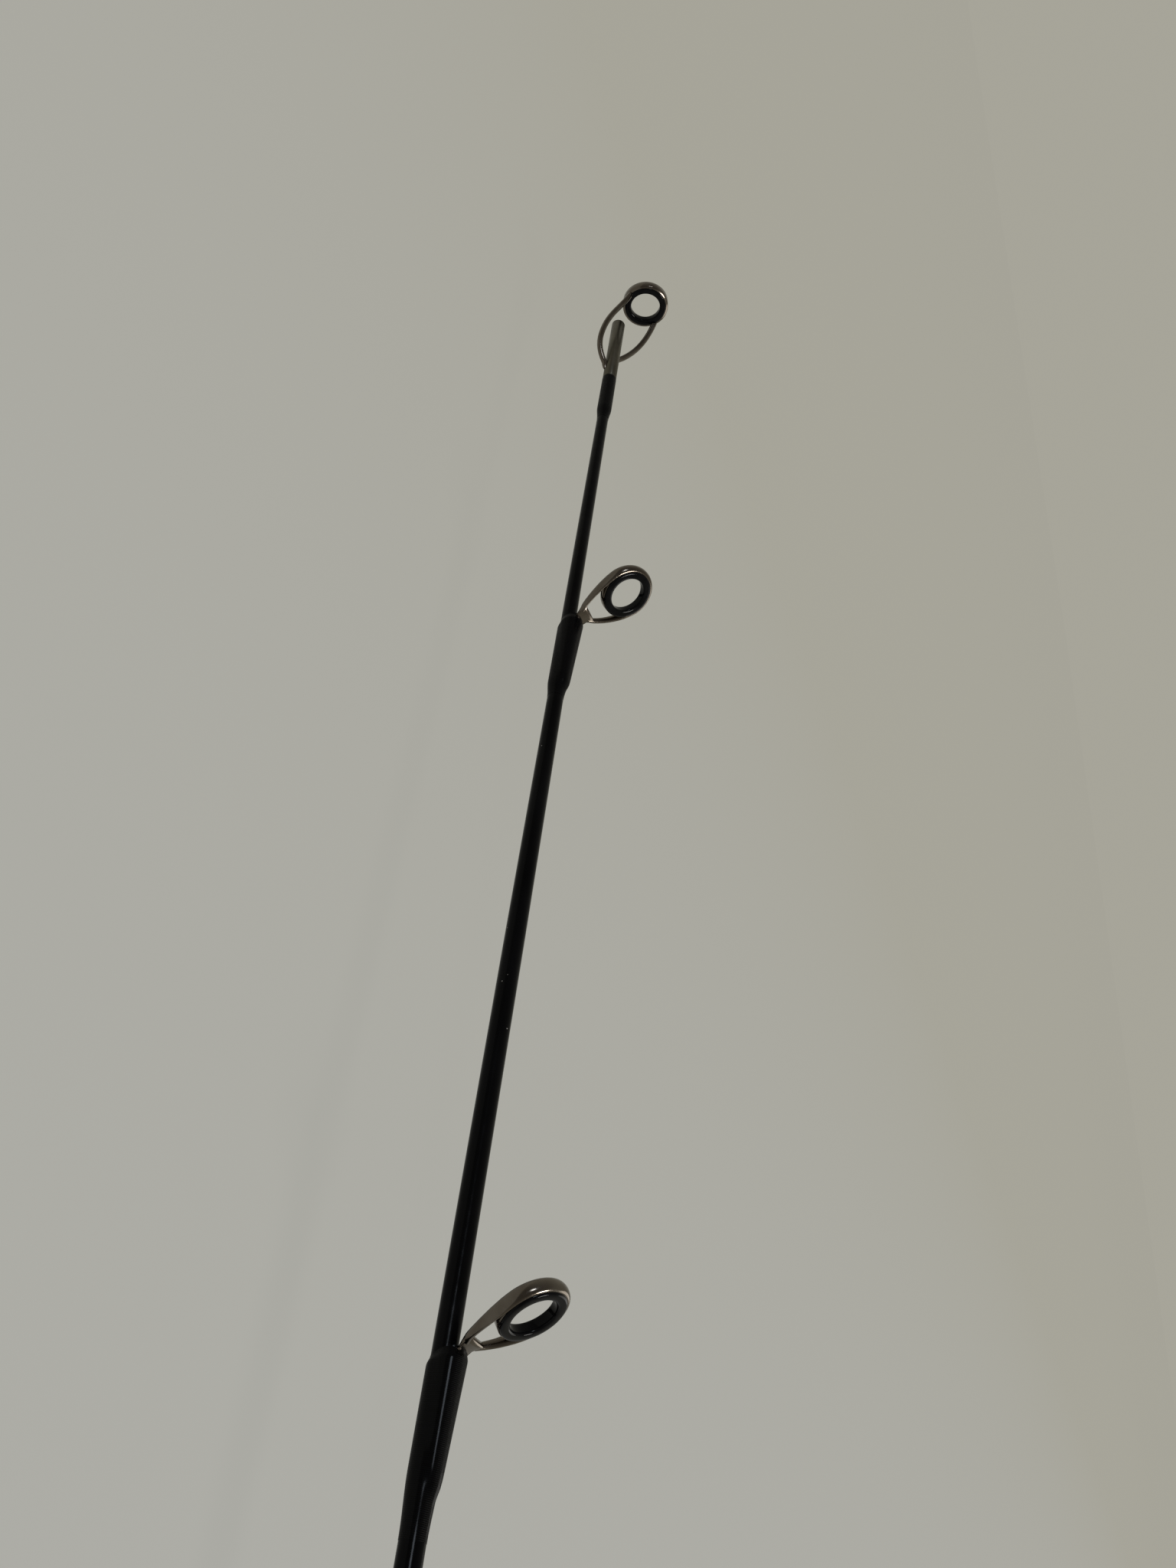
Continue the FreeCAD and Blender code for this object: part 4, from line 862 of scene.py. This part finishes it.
def makeSeat():
    rear, front = spanOf("seat_body")
    bedRear = spanOf("sliding_hood")[1] + seat["bedMargin"]
    bedFront = spanOf("fixed_hood")[0] - seat["bedMargin"]
    flat, bed, full, bore = seat["flat"], seat["bed"], seat["radius"] - seat["skin"], seat["bore"]
    edge, frontEdge, drop = seat["rearEdge"], seat["frontEdge"], seat["edgeDrop"]
    foot, bedDrop, bedTop = seat["bedStep"]
    first, step, count = seat["rows"]

    def ring(place, height=flat, radius=full):
        return place, lambda angle: flatted(radius, angle, height)

    def threaded(place):
        return place, lambda angle: flatted(threadRadius(place, angle, rear), angle, flat)

    rings = [ring(rear, inf, bore), ring(rear, flat - drop, full - edge), ring(rear + edge)]
    rings += [threaded(rear + first + step * row) for row in range(count)]
    rings += [ring(bedRear - foot), ring(bedRear, bed - bedDrop), ring(bedRear + bedTop, bed)]
    rings += [ring(bedFront - bedTop, bed), ring(bedFront, bed - bedDrop), ring(bedFront + foot)]
    rings += [ring(front - frontEdge), ring(front, flat - drop, full - frontEdge), ring(front, inf, bore)]
    addWrapped("reelSeat", "seat_plastic", "seat_body", rings, 144, "rod", sharpAngle=34)


hood = {
    "mouth": (10.3, 8.4, 6.8),   # round part, arch, arch centre over the axis
    "neck": (10.9, 10.2, 1.2),
    "lip": 1.5, "step": 0.35, "edge": 0.7, "bodyRows": 6,
    "rounding": ((0, 1), (0.15, 0.45), (0.45, 0.15), (1, 0)),  # shares of the edge: inwards, and let in
    "behindLip": ((0, 0), (0.15, 0.4), (0.3, 1), (0.9, 1), (1.6, 0.35), (2.6, 0)),  # back, share of the step
    "pocketDepth": 9, "pocketHalf": 6.2, "pocketTop": (13, 12), "pocketRound": 3,
    "pocketLine": ((9, 0), (0.4, 0), (0.1, 0.12), (0, 0.4)),  # depth, and how far the pocket flares
    "sliding": {"bore": 8.7, "flat": 7.2, "recess": 9.7,  # the nut's nose snaps into the recess
                "recessLine": ((0, 0.15), (0.15, 0), (1, 0), (1, 0.3), (2.6, 0.3), (2.6, 0), (4.3, 0))},
    "fixed": {"bore": 8.54, "flat": 6.64, "recess": 0, "recessLine": ()},
}


def archOutline(angle, low, high, half):  # a circle, an arch on top, and straight spans between them
    half = min(half, low * 0.96)
    rise = high - half
    if rise <= low - half + 0.002:
        return low
    angle = abs(angle)
    lean = acos((low - half) / rise)
    arch = atan2(half * sin(lean), rise + half * cos(lean))
    if angle <= arch:
        return rise * cos(angle) + sqrt(max(half ** 2 - (rise * sin(angle)) ** 2, 0))
    return low / cos(angle - lean) if angle < lean else low


def pocketRadius(angle, bore, top):  # a slot with round upper corners over the bore
    half, soft = hood["pocketHalf"], hood["pocketRound"]
    up, out = cos(angle), abs(sin(angle))
    if up <= 0.02:
        return bore
    reach = min(half / max(out, 1e-6), top / up)
    if reach * out > half - soft and reach * up > top - soft:
        along = out * (half - soft) + up * (top - soft)
        reach = along + sqrt(max(along ** 2 - (half - soft) ** 2 - (top - soft) ** 2 + soft ** 2, 0))
    return max(bore, reach)


def skinRings(ringAt, length, sizes, lip=()):  # from one rounded edge to the other
    edge, rows = sizes["edge"], sizes["bodyRows"]
    rounding = [(edge * inwards, edge * less) for inwards, less in sizes["rounding"]]
    rings = [*rounding, *lip]
    start = rings[-1][0]
    rings += [(between(start, length - edge, part / rows), 0) for part in range(1, rows + 1)]
    rings += [(length - inwards, less) for inwards, less in rounding[-2::-1]]
    return [ringAt(*ring) for ring in rings]


def makeHood(name, node, mouth, neck, kind, rides):
    way = 1 if neck > mouth else -1
    length = abs(neck - mouth)
    bore, recess = kind["bore"], kind["recess"]

    def outside(depth, less):  # depth from the mouth, and how far the skin is let in
        share = depth / length
        share = 0.5 * share + 0.5 * eased(share)
        low, arch, centre = (between(*ends, share) - less for ends in zip(hood["mouth"], hood["neck"]))
        return mouth + way * depth, lambda angle: archOutline(angle, low, centre + less + arch, arch)

    def inside(depth, more):
        start, end = hood["pocketTop"]
        top = start + (end - start) * depth / hood["pocketDepth"] + more
        return mouth + way * depth, lambda angle: pocketRadius(angle, bore + more, top)

    def bored(depth):
        return mouth + way * depth, lambda angle: flatted(bore, angle, kind["flat"])

    lip = [(hood["lip"] + back, hood["step"] * less) for back, less in hood["behindLip"]]
    rings = skinRings(outside, length, hood, lip)
    rings += [(mouth + way * (length - deep), lambda angle, wide=recess + more: wide)
              for deep, more in kind["recessLine"]]
    rings += [bored(length - kind["recessLine"][-1][0] if recess else length), bored(hood["pocketDepth"])]
    rings += [inside(depth, more) for depth, more in hood["pocketLine"]]
    addWrapped(name, "hood_plastic", node, rings, 144, rides, sharpAngle=38)


nut = {
    "length": 11.2, "radius": 11.5, "bore": 8.7, "boreEdge": 0.3, "edge": 1, "bodyRows": 8,
    "rounding": ((0, 1), (0.2, 0.45), (0.5, 0.15), (1, 0)),
    # the nose and the bead that snaps into the hood: place ahead of the nut's front, radius
    "noseLine": ((0, 9.5), (1.5, 9.5), (1.7, 9.78), (2.5, 9.78), (2.7, 9.5), (4, 9.5), (4.2, 9.3), (4.2, 8.7)),
    "flutes": 14, "fluteRadius": 1.5, "fluteDepth": 0.8, "fluteFade": 1.4,
}


def makeLockNut():
    rear = spanOf("lock_nut")[0]
    length, full, bore = nut["length"], nut["radius"], nut["bore"]
    turn = tau / nut["flutes"]
    middle = full + nut["fluteRadius"] - nut["fluteDepth"]

    def fluted(depth, less):
        fade = eased(min(depth, length - depth) / nut["fluteFade"])

        def radiusAt(angle):
            off = (angle + turn / 2) % turn - turn / 2
            half = nut["fluteRadius"] ** 2 - (middle * sin(off)) ** 2
            hollow = middle * cos(off) - sqrt(half) if half > 0 else full
            return full - less - max(full - hollow, 0) * fade
        return rear + depth, radiusAt

    def plain(depth, radius):
        return rear + depth, lambda angle: radius

    rings = [plain(nut["boreEdge"], bore), plain(0, bore + nut["boreEdge"])]
    rings += skinRings(fluted, length, nut)
    rings += [plain(length + ahead, radius) for ahead, radius in nut["noseLine"]]
    addWrapped("lockNut", "hood_plastic", "lock_nut", rings, nut["flutes"] * 18, "lock_nut", sharpAngle=38)


keeper = {
    "wire": 0.9, "foot": 5, "reach": 5, "bend": 1.7, "legLean": 0.45,
    "footTip": 0.35, "taper": 2.2, "rows": (0.3, 1.2, 2.2), "tipWidth": 0.6,
    "wrapFoot": 1.2, "climb": (-0.6, 0.3, 2.2),  # the foot's end inside its wrap, the climb on to it
}


def makeHookKeeper():
    rear, front = spanOf("hook_keeper")
    half = keeper["wire"] / 2
    rest = -(boreAt(rear) + half)
    loopRear, loopFront = rear + keeper["foot"], front - keeper["foot"]
    top, bend, lean = rest - keeper["reach"], keeper["bend"], keeper["legLean"]
    corners = softCorners([(rear, rest, 0), (loopRear, rest, bend), (loopRear + lean, top, bend),
                           (loopFront - lean, top, bend), (loopFront, rest, bend), (front, rest, 0)], steps=8)
    feet = [Vector((rear + place, 0, rest)) for place in keeper["rows"]]
    far = [Vector((front - place, 0, rest)) for place in reversed(keeper["rows"])]
    path = corners[:1] + feet + corners[1:-1] + far + corners[-1:]
    places = []
    for index, point in enumerate(path):
        up = aheadAt(path, index).cross(sideways).normalized()
        near = min(point.x - rear, front - point.x) if point.z > rest - 0.01 else inf
        tall = half * between(keeper["footTip"], 1, eased(near / keeper["taper"]))
        wide = half * (keeper["tipWidth"] if near < 0.1 else 1)
        places.append(section(point + Vector((0, 0, half - tall)), sideways, up, wide, tall))
    bm = bmesh.new()
    sweepSections(bm, places, segments=20)
    addPiece("hookKeeper", bm, "frame_metal", ["hook_keeper"], sharpAngle=60)


def makeKeeperWrap(name, node, inner):  # inner: 1 with the loop ahead of the wrap, -1 with it behind
    rear, front = spanOf(node)
    footEnd = rear + keeper["wrapFoot"] if inner > 0 else front - keeper["wrapFoot"]
    wire = keeper["wire"]
    heights = (0, wire * keeper["footTip"], wire)
    tops = sorted((footEnd + inner * climb, height) for climb, height in zip(keeper["climb"], heights))
    makeSleeve(name, node, (rear, front), tops, [(footEnd, wire / 2)], under=True, tail=wrap["shoulder"])


makeButtCap()
makeGrips()
makeTrimRing("rearTrimRing", "rear_trim_ring")
makeTrimRing("frontTrimRing", "front_trim_ring")
makeWindingCheck()
makeSeat()
slideRear, slideMouth = spanOf("sliding_hood")
fixedMouth, fixedNeck = spanOf("fixed_hood")
makeHood("slidingHood", "sliding_hood", slideMouth, slideRear, hood["sliding"], "sliding_hood")
makeHood("fixedHood", "fixed_hood", fixedMouth, fixedNeck, hood["fixed"], "rod")
makeLockNut()
makeHookKeeper()
makeKeeperWrap("keeperWrapRear", "hook_keeper_wrap_rear", 1)
makeKeeperWrap("keeperWrapFront", "hook_keeper_wrap_front", -1)
print("grips, seat and keeper made")

lighting = {
    "aim": (640, 0, 8),
    # lamps: way from the aim, distance and disk in metres, watts, colour
    "lamps": {"key": ((-0.61, -0.23, 0.76), 1.5, 0.44, 13, (1, 0.98, 0.95)),
              "window": ((0.12, 0.75, 0.62), 1.8, 0.4, 4.5, (0.8, 0.89, 1)),
              "back": ((-0.2, -0.85, 0.45), 2, 1.2, 7, (1, 0.98, 0.95))},
    "worldLevel": 0.42,
    "wall": (0.385, 0.374, 0.32),
    "dim": (0.15, 0.14, 0.125),  # the room's unlit side, as gloss shows it
    "dimWay": (-0.15, 0.8, 0.58), "dimFrom": -0.2, "dimTo": 0.85,
}
for name, (way, far, size, power, colour) in lighting["lamps"].items():
    light = bpy.data.lights.new(name, "AREA")
    light.shape = "DISK"
    light.size, light.energy, light.color = size, power, colour
    lamp = addObject(name, light)
    way = Vector(way).normalized()
    lamp.location = Vector(lighting["aim"]) * mm + way * far
    lamp.rotation_euler = way.to_track_quat("Z", "Y").to_euler()

# an even light on the rod, and a plain wall with a dim side for camera and gloss
world = bpy.data.worlds.new("room")
world.use_nodes = True
scene.world = world
room = Nodes(world.node_tree)
even = room.tree.nodes["Background"]
even.inputs["Color"].default_value = (1, 1, 1, 1)
even.inputs["Strength"].default_value = lighting["worldLevel"]
facing = room.add("VectorMath", {0: room.add("TexCoord").outputs["Generated"],
                                 1: Vector(lighting["dimWay"]).normalized()},
                  operation="DOT_PRODUCT").outputs["Value"]
dimness = room.range(facing, 0, 1, lighting["dimFrom"], lighting["dimTo"])
dimShare = room.times(dimness, room.add("LightPath").outputs["Is Glossy Ray"])
wallTone = room.blend(dimShare, lighting["wall"], lighting["dim"])
wall = room.add("Background", {"Color": wallTone})
mix = room.add("MixShader", {0: room.seenRays(), 1: even.outputs[0], 2: wall.outputs[0]})
room.join(mix.outputs[0], room.tree.nodes["World Output"].inputs["Surface"])

ground = {"half": 8, "middle": 0.35, "gap": 0.0005,  # metres
          "near": (0.425, 0.425, 0.398), "toneRun": (0.45, 0.8), "rough": 0.9,
          "glow": (0.8, 0.97), "glowRun": (0.35, 0.75)}  # the floor glows more away from the handle
floorMesh = bpy.data.meshes.new("floor")
floorShape = bmesh.new()
floorSpot = Matrix.Translation((ground["middle"], 0, cadBox[0][2] - ground["gap"]))
bmesh.ops.create_grid(floorShape, x_segments=1, y_segments=1, size=ground["half"], matrix=floorSpot)
floorShape.to_mesh(floorMesh)
floorShape.free()
floor = addObject("floor", floorMesh)
paint = Finish("floorPaint", Roughness=ground["rough"])
toneShare = paint.range(paint.along(), 0, 1, *ground["toneRun"])
tone = paint.blend(toneShare, ground["near"], lighting["wall"])
paint.join(tone, paint.shader.inputs["Base Color"])
glow = paint.add("Emission", {"Color": tone})
far = paint.add("VectorMath", {0: paint.place}, operation="LENGTH").outputs["Value"]
glowShare = paint.range(far, *ground["glow"], *ground["glowRun"])
mix = paint.add("MixShader", {0: paint.times(paint.seenRays(), glowShare),
                              1: paint.shader.outputs[0], 2: glow.outputs[0]})
paint.join(mix.outputs[0], paint.tree.nodes["Material Output"].inputs["Surface"])
floorMesh.materials.append(paint.material)

view = {
    "fromTipRing": (-185.64, 107.53, 57.74),
    "forward": (0.6129, -0.7115, -0.3437),
    "up": (0.7822, 0.6078, 0.1369),
    "lens": 31.64, "sensor": 36, "nearest": 0.005,
}
lensForward = Vector(view["forward"]).normalized()
lensRight = lensForward.cross(Vector(view["up"])).normalized()
lensUp = lensRight.cross(lensForward)
cameraData = bpy.data.cameras.new("camera")
cameraData.sensor_fit = "VERTICAL"
cameraData.sensor_height = view["sensor"]
cameraData.lens = view["lens"]
cameraData.clip_start = view["nearest"]
camera = addObject("camera", cameraData)
eye = Vector(view["fromTipRing"]) * mm + Vector((tipMiddle.x * mm, 0, 0))
camera.matrix_world = placed(eye, lensRight, lensUp, -lensForward)
scene.camera = camera
scene.view_settings.view_transform = "Standard"
print("stage ready")
